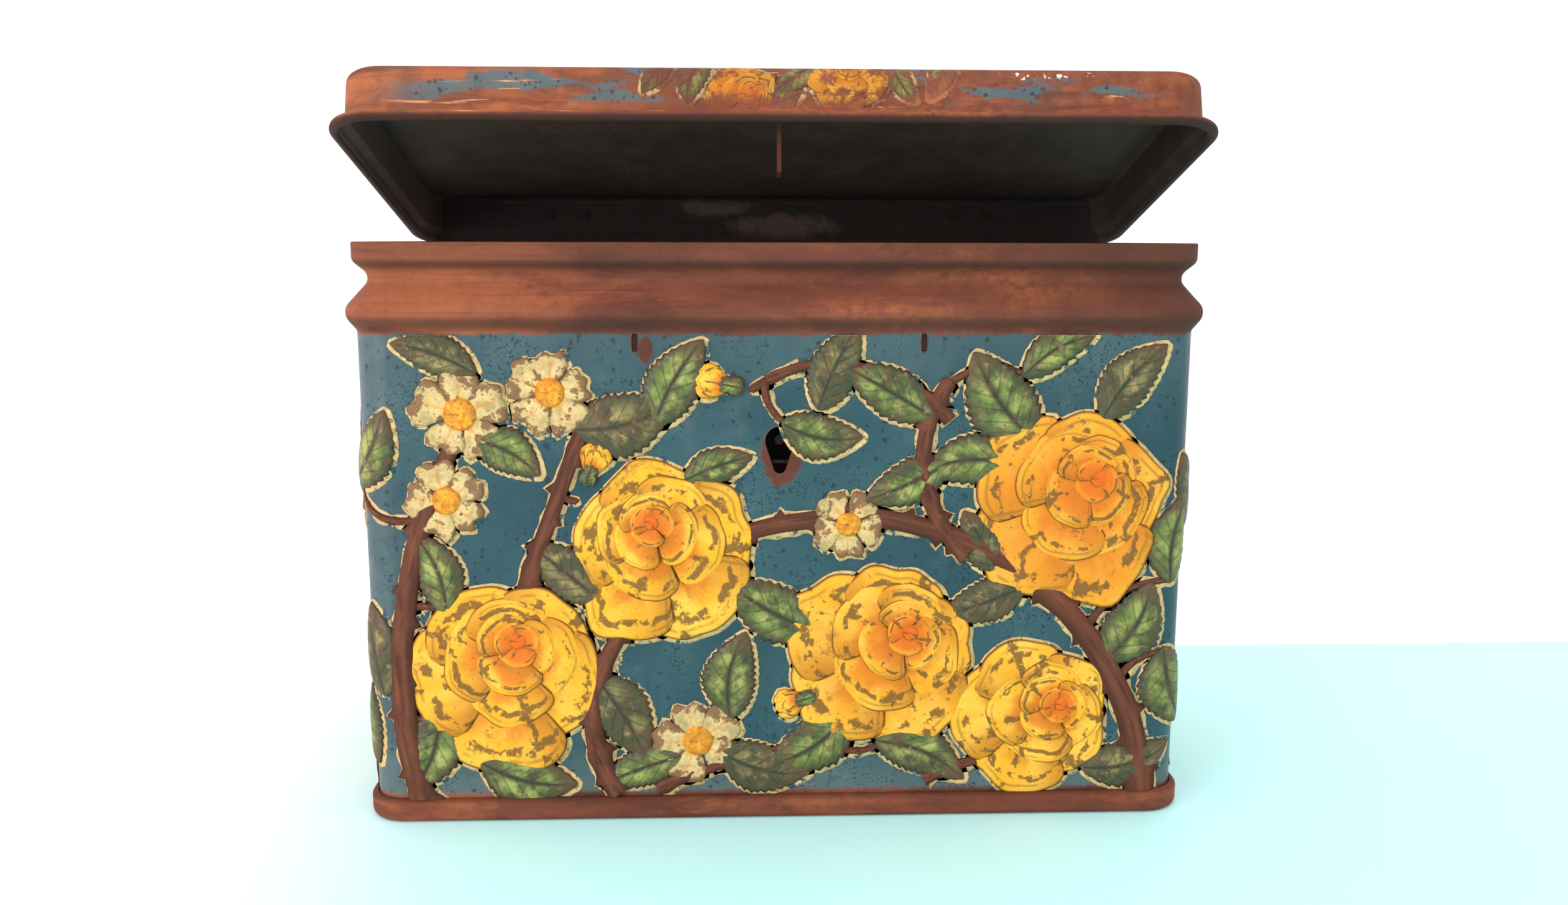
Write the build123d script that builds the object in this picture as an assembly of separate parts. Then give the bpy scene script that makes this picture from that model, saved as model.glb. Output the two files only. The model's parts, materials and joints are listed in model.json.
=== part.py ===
from build123d import *
import math
import os

# A hinged tinplate card box with a lock. Millimetres, +Z up, the front faces -Y.
# The origin is the middle of the base, on the surface that the box stands on.
# Sections are drawn as (outward from the wall's outer face, up) and carried round the box.

# ---------------------------------------------------------------- body sizes
body_width = 170.4
body_depth = 78.0
body_height = 120.0
corner_radius = 7.0
sheet = 0.4  # tinplate of the body, the lid and the base
tight = 0.05  # play between sheets that are rolled or pressed together

# ---------------------------------------------------------------- moulding round the mouth
# drops are measured down from the mouth's edge, outs and ins from the wall's outer face
moulding_drop = 18.0  # down to where the flat wall ends
crown_drop = 13.9  # the three corner points of the moulding, before they are rounded
crown_out = 2.75
cove_drop = 7.0
cove_in = 3.6
band_drop = 3.7
band_out = 0.3
foot_round = 1.2
crown_round = 2.6
cove_round = 2.2
band_round = 1.5
hem_drop = 2.6  # the mouth's edge is folded double this far down
hem_thickness = 0.85

# ---------------------------------------------------------------- base and its rolled seam
seam_height = 4.9
seam_out = 1.55
seam_round = 1.15
seam_lip = 0.25  # straight end of the roll, on the wall
floor_height = 2.6
floor_round = 0.6
flange_width = 0.75  # the body's foot, turned outward inside the seam
flange_height = 0.85

# ---------------------------------------------------------------- side seam of the body, at the back
side_seam_width = 5.0
side_seam_proud = 0.45

# ---------------------------------------------------------------- lid
lid_wall_out = 1.5
lid_flare_gap = 1.7  # round the mouth's folded edge
lid_height = 10.2  # from the mouth's edge to the top, when shut
lid_fold_round = 1.7
curl_diameter = 2.2
curl_below_mouth = 1.2  # from the mouth's edge down to the curl's centre, when shut
curl_sweep = 295.0  # how far the lid's edge is rolled round its wire, in degrees
shoulder_rise = 1.6
shoulder_drop = 0.1
shoulder_round = 0.8
lid_rest_angle = 16.8  # how far the lid stands open in the rest pose

# ---------------------------------------------------------------- hinges
hinge_spacing = 104.0
hinge_width = 16.0
hinge_sheet = 0.6
knuckle_radius = 1.6
pin_radius = 0.8
pin_play = 0.05
knuckle_gap = 0.25
middle_knuckle = 7.6
leaf_clearance = 0.4  # between the lid's curl and a hinge strap
strap_over_crown = 1.2  # the strap stays level with the crown this far up and down
strap_round = 0.8
strap_drop = 28.1  # from the hinge axis down to the strap's end
lid_leaf_rise = 9.5  # from the hinge axis up to the end of the lid's leaf, when shut
lid_leaf_over_curl = 0.7
lid_leaf_slope = 2.1  # rise of the leaf from the curl to the lid's wall
pin_head_radius = 1.3
pin_head_length = 0.6

# ---------------------------------------------------------------- rivets
rivet_radius = 0.8
rivet_play = 0.03
rivet_head_radius = 1.6
rivet_head_height = 0.7
rivet_tail_radius = 1.3
rivet_tail_height = 0.4
strap_rivet_drops = (20.6, 25.6)  # below the hinge axis
lid_rivet_rise = 6.8
lid_rivet_spacing = 9.0

# ---------------------------------------------------------------- keyhole and tab slots in the front
keyhole_drop = 39.7  # from the mouth's edge to the middle of the keyhole's head
keyhole_head_radius = 2.95
keyhole_toe_radius = 1.3
keyhole_toe_drop = 5.4  # from the head's middle to the toe's middle
slot_spacing = 58.0
slot_width = 1.0
slot_length = 3.5
upper_slot_gap = 0.05  # between the upper slots and the moulding
lower_slot_drop = 2.7  # from the head's middle to the lower slots' middles
tab_play = 0.12

# ---------------------------------------------------------------- lock
lock_sheet = 0.6
lock_plate_margin = 1.6  # beyond the slots' middles, sideways
lock_plate_foot = 2.4  # beyond the lower slots' middles, downward
case_width = 40.0
case_flange = 4.5
case_top_rise = 1.2  # above the upper slots' middles
case_foot_drop = 2.0  # below the lower slots' middles
case_rivet_inset = 5.0
bolt_thickness = 1.5
bolt_setback = 4.6  # from the wall's inner face to the bolt
bolt_slack = 0.3  # behind the bolt
bolt_bar_left = -15.0  # with the bolt drawn back
bolt_bar_length = 27.0
bolt_bar_height = 10.0
key_reach = 5.3  # from the keyhole's head to the bolt's bar
bolt_throw = 5.0
bolt_neck_left = -11.0  # with the bolt drawn back
bolt_neck_width = 5.0
bolt_top_drop = 5.5  # below the mouth's edge
bolt_nose_height = 2.2
bolt_nose_gap = 1.6  # between the drawn nose and the staple
talon_width = 6.4
talon_height = 3.0
guide_pin_radius = 1.0
guide_pin_x = -7.5
guide_pin_rise = 6.4  # above the foot of the bolt's bar
guide_pin_front = 0.6  # its end stands this far in front of the bolt
key_post_radius = 1.0
key_post_tip = 1.4  # from the wall's inner face to the post's free end
case_slot_play = 0.5
spring_thickness = 0.4
spring_width = 1.6
spring_foot = 6.0
spring_touch_x = 3.6
spring_lip = 1.6
spring_gap = 0.3
spring_round = 1.0

# ---------------------------------------------------------------- staple on the lid
staple_sheet = 0.8
staple_foot_width = 12.0
staple_foot_height = 6.0
staple_ledge = 1.5  # from the foot's face inward, over the mouth's edge: the shut lid's seat
staple_web = 1.6  # under the eye
staple_front_gap = 1.0  # behind the cove
staple_tongue_width = 3.8
staple_eye_play = 0.35

# ---------------------------------------------------------------- raised flower work
relief_height = 0.5
relief_margin = 1.0
petal_share = 0.24  # a petal's middle from the bloom's middle, as a share of the bloom's diameter
petal_radius_share = 0.2
leaf_width_share = 0.44
stem_width = 2.4
lock_margin = 3.0  # the flower work keeps this far off the slots and the keyhole

# each bloom is (across, up, diameter), with across and up as shares of its panel
front_blooms = [
    (0.142, 0.289, 33.0),
    (0.347, 0.547, 31.0),
    (0.641, 0.320, 33.0),
    (0.884, 0.650, 33.0),
    (0.845, 0.176, 27.0),
    (0.091, 0.835, 16.0),
    (0.206, 0.880, 14.0),
    (0.070, 0.655, 13.0),
    (0.391, 0.125, 15.0),
]
# each leaf is (across, up, length, direction), with the direction in degrees from +X
front_leaves = [
    (0.300, 0.830, 15.0, 15),
    (0.370, 0.900, 14.0, 60),
    (0.045, 0.500, 13.0, 110),
    (0.290, 0.180, 15.0, 300),
    (0.030, 0.110, 14.0, 250),
    (0.165, 0.055, 15.0, 345),
    (0.060, 0.950, 12.0, 160),
    (0.480, 0.075, 14.0, 345),
    (0.315, 0.060, 13.0, 200),
    (0.490, 0.420, 16.0, 150),
    (0.540, 0.130, 17.0, 215),
    (0.690, 0.075, 15.0, 335),
    (0.640, 0.880, 15.0, 150),
    (0.665, 0.690, 13.0, 205),
    (0.770, 0.430, 13.0, 200),
    (0.790, 0.870, 16.0, 125),
    (0.745, 0.720, 13.0, 185),
    (0.960, 0.900, 14.0, 50),
    (0.965, 0.380, 14.0, 60),
    (0.970, 0.080, 14.0, 15),
]
# each stem is an arc through three points, as shares of the panel
front_stems = [
    ((0.990, 0.02), (0.880, 0.41), (0.500, 0.60)),
    ((0.740, 0.54), (0.690, 0.69), (0.715, 0.89)),
    ((0.020, 0.02), (0.010, 0.41), (0.090, 0.80)),
    ((0.280, 0.02), (0.255, 0.22), (0.320, 0.41)),
    ((0.100, 0.20), (0.190, 0.56), (0.250, 0.82)),
]
side_blooms = [
    (0.66, 0.22, 30.0),
    (0.32, 0.56, 33.0),
    (0.72, 0.84, 17.0),
]
side_leaves = [
    (0.26, 0.15, 17.0, 205),
    (0.88, 0.44, 15.0, 70),
    (0.66, 0.60, 15.0, 40),
    (0.20, 0.84, 16.0, 130),
    (0.45, 0.88, 14.0, 60),
    (0.10, 0.34, 14.0, 240),
]
side_stems = [
    ((0.06, 0.02), (0.20, 0.36), (0.50, 0.52)),
    ((0.95, 0.02), (0.92, 0.46), (0.76, 0.76)),
]
back_blooms = [
    (0.230, 0.300, 33.0),
    (0.080, 0.640, 28.0),
    (0.400, 0.660, 31.0),
    (0.640, 0.260, 33.0),
    (0.920, 0.420, 31.0),
    (0.620, 0.720, 16.0),
]
back_leaves = [
    (0.070, 0.180, 16.0, 230),
    (0.350, 0.110, 16.0, 330),
    (0.230, 0.610, 15.0, 60),
    (0.060, 0.900, 15.0, 100),
    (0.410, 0.920, 15.0, 30),
    (0.430, 0.380, 14.0, 120),
    (0.580, 0.500, 15.0, 110),
    (0.800, 0.100, 16.0, 340),
    (0.780, 0.500, 15.0, 150),
    (0.950, 0.800, 16.0, 80),
    (0.960, 0.130, 14.0, 300),
]
back_stems = [
    ((0.020, 0.03), (0.150, 0.46), (0.330, 0.60)),
    ((0.450, 0.03), (0.400, 0.26), (0.400, 0.50)),
    ((0.980, 0.97), (0.840, 0.66), (0.720, 0.36)),
    ((0.560, 0.03), (0.560, 0.40), (0.610, 0.66)),
]
top_blooms = [
    (0.14, 0.44, 32.0),
    (0.40, 0.60, 31.0),
    (0.66, 0.36, 33.0),
    (0.89, 0.62, 29.0),
]
top_leaves = [
    (0.27, 0.82, 16.0, 150),
    (0.27, 0.22, 16.0, 330),
    (0.44, 0.18, 15.0, 20),
    (0.54, 0.84, 16.0, 40),
    (0.78, 0.84, 15.0, 140),
    (0.83, 0.18, 16.0, 340),
    (0.05, 0.86, 14.0, 120),
    (0.05, 0.12, 13.0, 230),
]
top_stems = [
    ((0.02, 0.90), (0.24, 0.54), (0.56, 0.52)),
    ((0.98, 0.08), (0.80, 0.40), (0.50, 0.44)),
]


def blunting(before, corner, after, radius):
    """How far rounding a corner of a section draws its tip back."""
    turn = (Vector(*corner) - Vector(*before)).get_angle(Vector(*after) - Vector(*corner))
    return radius * (1 / math.cos(math.radians(turn / 2)) - 1)


# ---------------------------------------------------------------- sizes worked out from those above
half_width = body_width / 2
half_depth = body_depth / 2
straight_width = body_width - 2 * corner_radius
straight_depth = body_depth - 2 * corner_radius
inner_front = -half_depth + sheet  # the front wall's inner face

moulding_foot = body_height - moulding_drop
panel_height = moulding_foot - seam_height
panel_middle = (moulding_foot + seam_height) / 2
band_face = band_out + sheet / 2
hem_round = hem_thickness / 2 - tight
foot_corner = (-sheet / 2, moulding_foot + sheet)
crown_corner = (crown_out, body_height - crown_drop)
cove_corner = (-cove_in, body_height - cove_drop)
band_corner = (band_out, body_height - band_drop)
crown_face = crown_out - blunting(foot_corner, crown_corner, cove_corner, crown_round) + sheet / 2
cove_inner = cove_in - blunting(crown_corner, cove_corner, band_corner, cove_round) + sheet / 2

flare_out = band_face + lid_flare_gap + sheet / 2
curl_centre_out = flare_out - sheet / 2 + curl_diameter / 2
curl_height = body_height - curl_below_mouth
curl_line_radius = (curl_diameter - sheet) / 2
wire_radius = curl_diameter / 2 - sheet - tight
lid_top = body_height + lid_height
lid_wall_line = lid_wall_out - sheet / 2

hinge_y = half_depth + curl_centre_out + curl_diameter / 2 + leaf_clearance + knuckle_radius
hinge_z = curl_height
hinge_axis = Axis((0, hinge_y, hinge_z), (-1, 0, 0))
hinge_middles = {"left": -hinge_spacing / 2, "right": hinge_spacing / 2}

keyhole_height = body_height - keyhole_drop
upper_slot_height = moulding_foot - upper_slot_gap - slot_length / 2
lower_slot_height = keyhole_height - lower_slot_drop
case_top = upper_slot_height + case_top_rise
case_foot = lower_slot_height - case_foot_drop
case_front = inner_front + lock_sheet
bolt_front = inner_front + bolt_setback
case_back = bolt_front + bolt_thickness + bolt_slack + lock_sheet
bolt_bar_foot = keyhole_height + key_reach
bolt_bar_top = bolt_bar_foot + bolt_bar_height
bolt_top = body_height - bolt_top_drop
guide_pin_height = bolt_bar_foot + guide_pin_rise


def ring(section):
    """Carries a section round the box's outline, as four straight sides and four turned corners."""
    pieces = []
    corners = [(1, 1, 0), (-1, 1, 90), (-1, -1, 180), (1, -1, 270)]
    for across, along, start in corners:
        centre = Vector(across * (half_width - corner_radius), along * (half_depth - corner_radius), 0)
        corner_face = section_plane(centre, start) * section
        pieces.append(revolve(corner_face, Axis(centre, (0, 0, 1)), 90))
        straight = straight_depth if start in (90, 270) else straight_width
        side_face = section_plane(centre, start + 90) * section
        pieces.append(extrude(side_face, -straight))
    return (Part() + pieces).clean()


def section_plane(centre, angle):
    """The upright plane at a corner's centre that holds a section facing that way."""
    outward = Vector(math.cos(math.radians(angle)), math.sin(math.radians(angle)), 0)
    across = Vector(outward.Y, -outward.X, 0)
    return Plane(centre + outward * corner_radius, x_dir=outward, z_dir=across)


def slab(inset, low, high):
    """A flat plate with the box's outline, drawn in by inset."""
    outline = RectangleRounded(body_width - 2 * inset, body_depth - 2 * inset, corner_radius - inset)
    return extrude(Plane.XY.offset(low) * outline, high - low)


def rod(start, direction, radius, length):
    """A round bar from a point."""
    return extrude(Plane(start, z_dir=direction) * Circle(radius), length)


def block(x_span, y_span, z_span):
    """A box between two corners."""
    size = [high - low for low, high in (x_span, y_span, z_span)]
    middle = [(high + low) / 2 for low, high in (x_span, y_span, z_span)]
    return Pos(*middle) * Box(*size)


# ---------------------------------------------------------------- raised flower work
def bloom_outline(diameter):
    """Five round petals about a centre."""
    reach = petal_share * diameter
    petals = [place * Circle(petal_radius_share * diameter) for place in PolarLocations(reach, 5, 18)]
    return Sketch() + [Circle(reach), *petals]


def leaf_outline(length):
    """A pointed leaf along +X, from two arcs."""
    tip = length / 2
    belly = length * leaf_width_share / 2
    upper = ThreePointArc((-tip, 0), (0, belly), (tip, 0))
    lower = ThreePointArc((tip, 0), (0, -belly), (-tip, 0))
    return make_face([upper, lower])


def flower_work(plane, width, height, blooms, leaves, stems, gaps):
    """The raised parts of one panel, kept off the gaps, as a solid that stands on the panel's plane."""

    def spot(across, up):
        return ((across - 0.5) * width, (up - 0.5) * height)

    shapes = [Pos(*spot(across, up)) * bloom_outline(size) for across, up, size in blooms]
    for across, up, length, direction in leaves:
        shapes.append(Pos(*spot(across, up)) * Rot(0, 0, direction) * leaf_outline(length))
    for points in stems:
        shapes.append(trace(ThreePointArc(*[spot(*point) for point in points]), stem_width))
    panel = Rectangle(width - 2 * relief_margin, height - 2 * relief_margin)
    outline = (Sketch() + shapes) & panel
    for gap in gaps:
        outline = outline - gap
    return extrude(plane * outline, relief_height)


def panel_plane(facing):
    """The plane of a wall's outer face, with its origin in the middle of the panel."""
    if facing == "front":
        return Plane((0, -half_depth, panel_middle), x_dir=(1, 0, 0), z_dir=(0, -1, 0))
    if facing == "back":
        return Plane((0, half_depth, panel_middle), x_dir=(-1, 0, 0), z_dir=(0, 1, 0))
    if facing == "left":
        return Plane((-half_width, 0, panel_middle), x_dir=(0, -1, 0), z_dir=(-1, 0, 0))
    return Plane((half_width, 0, panel_middle), x_dir=(0, 1, 0), z_dir=(1, 0, 0))


def lock_gaps():
    """The parts of the front panel that stay flat: the keyhole and the four slots."""
    keyhole_room = Pos(0, keyhole_height - keyhole_toe_drop / 2 - panel_middle) * Rectangle(
        2 * (keyhole_head_radius + lock_margin),
        keyhole_head_radius + keyhole_toe_drop + keyhole_toe_radius + 2 * lock_margin,
    )
    slot_room = Rectangle(slot_width + 2 * lock_margin, slot_length + 2 * lock_margin)
    return [keyhole_room] + [Pos(across, up - panel_middle) * slot_room for across, up in slot_centres()]


def back_gaps():
    """The parts of the back panel that stay flat: the side seam and the hinge straps."""
    strap_length = strap_drop - (hinge_z - moulding_foot)
    strap_room = Rectangle(hinge_width + lock_margin, 2 * (strap_length + lock_margin))
    straps = [Pos(middle, panel_height / 2) * strap_room for middle in hinge_middles.values()]
    return [Rectangle(side_seam_width + 2 * lock_margin, panel_height), *straps]


# ---------------------------------------------------------------- body
def keyhole_outline(grown=0.0):
    """A round head that narrows to a toe, drawn about the head's centre."""
    head = Circle(keyhole_head_radius + grown)
    toe = Pos(0, -keyhole_toe_drop) * Circle(keyhole_toe_radius + grown)
    return make_hull([*head.edges(), *toe.edges()])


def front_plane(height):
    """A plane on the front, looking inward, at a height."""
    return Plane((0, -half_depth, height), x_dir=(1, 0, 0), z_dir=(0, -1, 0))


def slot_centres():
    """The four slots that the lock's tabs come through, as (across, up)."""
    heights = (lower_slot_height, upper_slot_height)
    return [(side * slot_spacing / 2, height) for side in (-1, 1) for height in heights]


def body_section():
    """Flange, wall, moulding and folded mouth of the body."""
    line = -sheet / 2
    route = FilletPolyline(
        (line + flange_width + sheet / 2, flange_height),
        (line, flange_height),
        foot_corner,
        crown_corner,
        cove_corner,
        band_corner,
        (band_out, body_height - hem_round),
        radius=[sheet, foot_round, crown_round, cove_round, band_round],
    )
    hem_middle = (band_face - hem_thickness / 2, body_height - hem_drop / 2)
    hem = Pos(*hem_middle) * RectangleRounded(hem_thickness, hem_drop, hem_round)
    return trace(route, sheet) + hem


def make_body_shell():
    shell = ring(body_section())
    seam = block(
        (-side_seam_width / 2, side_seam_width / 2),
        (half_depth - sheet / 2, half_depth + side_seam_proud),
        (seam_height, moulding_foot),
    )
    wide, deep, high = straight_width, straight_depth, panel_height
    panels = [
        flower_work(panel_plane("front"), wide, high, front_blooms, front_leaves, front_stems, lock_gaps()),
        flower_work(panel_plane("back"), wide, high, back_blooms, back_leaves, back_stems, back_gaps()),
        flower_work(panel_plane("left"), deep, high, side_blooms, side_leaves, side_stems, []),
        flower_work(panel_plane("right"), deep, high, side_blooms, side_leaves, side_stems, []),
    ]
    shell = shell + [seam, *panels]
    cutter_depth = sheet + relief_height + 1
    openings = [extrude(front_plane(keyhole_height) * keyhole_outline(), cutter_depth, both=True)]
    for across, up in slot_centres():
        slot = Pos(across, 0) * Rectangle(slot_width, slot_length)
        openings.append(extrude(front_plane(up) * slot, cutter_depth, both=True))
    for middle in hinge_middles.values():
        for drop in strap_rivet_drops:
            start = (middle, half_depth + 1, hinge_z - drop)
            openings.append(rod(start, (0, -1, 0), rivet_radius + rivet_play, sheet + 2))
    return shell - openings


def make_bottom_plate():
    """The floor, sunk inside the walls, and the seam that is rolled round the body's flange."""
    inner_line = -sheet - tight - sheet / 2
    outer_line = seam_out - sheet / 2
    route = FilletPolyline(
        (inner_line - 2, floor_height),
        (inner_line, floor_height),
        (inner_line, sheet / 2),
        (outer_line, sheet / 2),
        (outer_line, seam_height - sheet / 2),
        (tight + sheet / 2, seam_height - sheet / 2),
        radius=[floor_round, sheet, seam_round, outer_line - tight - sheet / 2 - seam_lip],
    )
    floor = slab(-inner_line + 1.5, floor_height - sheet / 2, floor_height + sheet / 2)
    return ring(trace(route, sheet)) + floor


# ---------------------------------------------------------------- lid, drawn shut
def lid_section():
    """Curl, flare, shoulder, wall and the fold into the top."""
    curl_middle = (curl_centre_out, curl_height)
    curl = CenterArc(curl_middle, curl_line_radius, 180, curl_sweep)
    rise = FilletPolyline(
        (flare_out, curl_height),
        (flare_out, body_height - shoulder_drop),
        (lid_wall_line, body_height + shoulder_rise),
        (lid_wall_line, lid_top - sheet / 2),
        (lid_wall_line - lid_fold_round - 1, lid_top - sheet / 2),
        radius=[shoulder_round, shoulder_round, lid_fold_round],
    )
    return trace(curl, sheet) + trace(rise, sheet)


def make_lid_shell():
    top = slab(-lid_wall_line + lid_fold_round + 0.5, lid_top - sheet, lid_top)
    shell = ring(lid_section()) + top
    top_plane = Plane((0, 0, lid_top))
    size = (straight_width, straight_depth)
    shell = shell + flower_work(top_plane, *size, top_blooms, top_leaves, top_stems, [])
    holes = []
    for middle in hinge_middles.values():
        for side in (-1, 1):
            start = (middle + side * lid_rivet_spacing / 2, half_depth + 2, hinge_z + lid_rivet_rise)
            holes.append(rod(start, (0, -1, 0), rivet_radius + rivet_play, 4))
    return shell - holes


def make_rim_wire():
    return ring(Pos(curl_centre_out, curl_height) * Circle(wire_radius))


# ---------------------------------------------------------------- hinges, drawn shut
def hinge_plane(middle):
    """Upright plane through the middle of a hinge: local x points back and local y up from its axis."""
    return Plane((middle, hinge_y, hinge_z), x_dir=(0, 1, 0), z_dir=(1, 0, 0))


def knuckle_cutter(middle, low, high):
    """Room for the other leaf's knuckles between two places along the pin."""
    return rod((middle + low, hinge_y, hinge_z), (1, 0, 0), knuckle_radius + knuckle_gap, high - low)


def make_body_leaf(middle):
    """A strap that hangs from two knuckles, passes over the moulding's crown and lies on the wall."""
    strap_line = -knuckle_radius + hinge_sheet / 2
    crown_line = half_depth + crown_face + tight + hinge_sheet / 2 - hinge_y
    wall_line = half_depth - hinge_y + hinge_sheet / 2 + tight / 2
    crown_level = body_height - crown_drop - hinge_z
    foot_level = moulding_foot - hinge_z
    route = FilletPolyline(
        (strap_line, 0),
        (strap_line, crown_level / 2),
        (crown_line, crown_level + strap_over_crown),
        (crown_line, crown_level - strap_over_crown),
        (wall_line, foot_level - strap_over_crown),
        (wall_line, -strap_drop),
        radius=strap_round,
    )
    knuckle = Circle(knuckle_radius) - Circle(pin_radius + pin_play)
    profile = trace(route, hinge_sheet) + knuckle - Circle(pin_radius + pin_play)
    leaf = extrude(hinge_plane(middle) * profile, hinge_width / 2, both=True)
    half_gap = middle_knuckle / 2 + knuckle_gap
    leaf = leaf - knuckle_cutter(middle, -half_gap, half_gap)
    holes = []
    for drop in strap_rivet_drops:
        start = (middle, half_depth + 2, hinge_z - drop)
        holes.append(rod(start, (0, -1, 0), rivet_radius + rivet_play, 4))
    return leaf - holes


def make_lid_leaf(middle):
    """A leaf that rises from the middle knuckle, clears the curl and lies on the lid's back wall."""
    wall_line = half_depth + lid_wall_out - hinge_y + hinge_sheet / 2 + tight / 2
    curl_middle = half_depth + curl_centre_out - hinge_y
    over_curl = curl_diameter / 2 + hinge_sheet / 2 + lid_leaf_over_curl
    route = FilletPolyline(
        (0, knuckle_radius - hinge_sheet / 2),
        (curl_middle, over_curl),
        (wall_line, over_curl + lid_leaf_slope),
        (wall_line, lid_leaf_rise),
        radius=strap_round,
    )
    profile = trace(route, hinge_sheet) + Circle(knuckle_radius) - Circle(pin_radius + pin_play)
    leaf = extrude(hinge_plane(middle) * profile, hinge_width / 2, both=True)
    near = middle_knuckle / 2
    far = hinge_width / 2 + 1
    leaf = leaf - [knuckle_cutter(middle, near, far), knuckle_cutter(middle, -far, -near)]
    holes = []
    for side in (-1, 1):
        start = (middle + side * lid_rivet_spacing / 2, half_depth + 3, hinge_z + lid_rivet_rise)
        holes.append(rod(start, (0, -1, 0), rivet_radius + rivet_play, 4))
    return leaf - holes


def make_hinge_pin(middle):
    length = hinge_width + 2 * tight
    pin = rod((middle - length / 2, hinge_y, hinge_z), (1, 0, 0), pin_radius, length)
    heads = []
    for side in (-1, 1):
        start = (middle + side * length / 2, hinge_y, hinge_z)
        heads.append(rod(start, (side, 0, 0), pin_head_radius, pin_head_length))
    return pin + heads


def rivet(x, z, outer_face, grip):
    """A rivet along Y with a domed head on the outer face and a small set tail inside."""
    tail_face = outer_face - grip
    shank = rod((x, outer_face, z), (0, -1, 0), rivet_radius, grip)
    dome_radius = (rivet_head_radius**2 + rivet_head_height**2) / (2 * rivet_head_height)
    dome = Pos(x, outer_face + rivet_head_height - dome_radius, z) * Sphere(dome_radius)
    keep = rod((x, outer_face, z), (0, 1, 0), rivet_head_radius, rivet_head_height)
    tail = rod((x, tail_face, z), (0, -1, 0), rivet_tail_radius, rivet_tail_height)
    return shank + (dome & keep) + tail


def make_strap_rivets():
    outer = half_depth + hinge_sheet + tight / 2
    grip = hinge_sheet + sheet + tight / 2
    spots = [(middle, drop) for middle in hinge_middles.values() for drop in strap_rivet_drops]
    return Compound([rivet(x, hinge_z - drop, outer, grip) for x, drop in spots])


def make_lid_rivets():
    outer = half_depth + lid_wall_out + hinge_sheet + tight / 2
    grip = hinge_sheet + sheet + tight / 2
    offsets = (-lid_rivet_spacing / 2, lid_rivet_spacing / 2)
    places = [middle + offset for middle in hinge_middles.values() for offset in offsets]
    return Compound([rivet(x, hinge_z + lid_rivet_rise, outer, grip) for x in places])


# ---------------------------------------------------------------- lock
def make_lock_plate():
    """A plate against the front wall with a keyhole and four tabs that fill the wall's slots."""
    half = slot_spacing / 2 + lock_plate_margin
    plate = block(
        (-half, half),
        (inner_front, inner_front + lock_sheet),
        (lower_slot_height - lock_plate_foot, upper_slot_height + slot_length / 2 - tab_play),
    )
    tabs = []
    for across, up in slot_centres():
        tabs.append(
            block(
                (across - slot_width / 2 + tab_play, across + slot_width / 2 - tab_play),
                (-half_depth + tight, inner_front + lock_sheet / 2),
                (up - slot_length / 2 + tab_play, up + slot_length / 2 - tab_play),
            )
        )
    keyhole = extrude(front_plane(keyhole_height) * keyhole_outline(tab_play), -lock_sheet - 2)
    holes = [rod((x, inner_front - 1, z), (0, 1, 0), rivet_radius + rivet_play, 3) for x, z in case_rivet_spots()]
    return plate + tabs - keyhole - holes


def case_rivet_spots():
    """Where the case's flanges are riveted to the plate, as (across, up)."""
    across = case_width / 2 + case_flange / 2
    heights = (case_foot + case_rivet_inset, case_top - case_rivet_inset)
    return [(side * across, height) for side in (-1, 1) for height in heights]


def make_lock_case():
    """A tray with two side flanges, open towards the plate, slotted on top for the bolt's neck."""
    outer = block((-case_width / 2, case_width / 2), (case_front, case_back), (case_foot, case_top))
    inner = block(
        (-case_width / 2 + lock_sheet, case_width / 2 - lock_sheet),
        (case_front - 1, case_back - lock_sheet),
        (case_foot + lock_sheet, case_top - lock_sheet),
    )
    neck_slot = block(
        (bolt_neck_left - case_slot_play, bolt_neck_left + bolt_neck_width + bolt_throw + case_slot_play),
        (bolt_front - case_slot_play, bolt_front + bolt_thickness + bolt_slack / 2),
        (case_top - 2 * lock_sheet, case_top + 1),
    )
    flanges = []
    for side in (-1, 1):
        near = side * (case_width / 2 - lock_sheet / 2)
        far = side * (case_width / 2 + case_flange)
        span = (min(near, far), max(near, far))
        flanges.append(block(span, (case_front, case_front + lock_sheet), (case_foot, case_top)))
    starts = [(x, case_front - 1, z) for x, z in case_rivet_spots()]
    holes = [rod(start, (0, 1, 0), rivet_radius + rivet_play, lock_sheet + 2) for start in starts]
    return outer - inner - neck_slot + flanges - holes


def make_lock_rivets():
    """Four small rivets that hold the case to the plate, flush against the wall."""
    rivets = []
    for x, z in case_rivet_spots():
        shank = rod((x, inner_front + tight, z), (0, 1, 0), rivet_radius, 2 * lock_sheet - tight)
        head = rod((x, case_front + lock_sheet, z), (0, 1, 0), rivet_head_radius, rivet_head_height)
        rivets.append(shank + head)
    return Compound(rivets)


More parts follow.
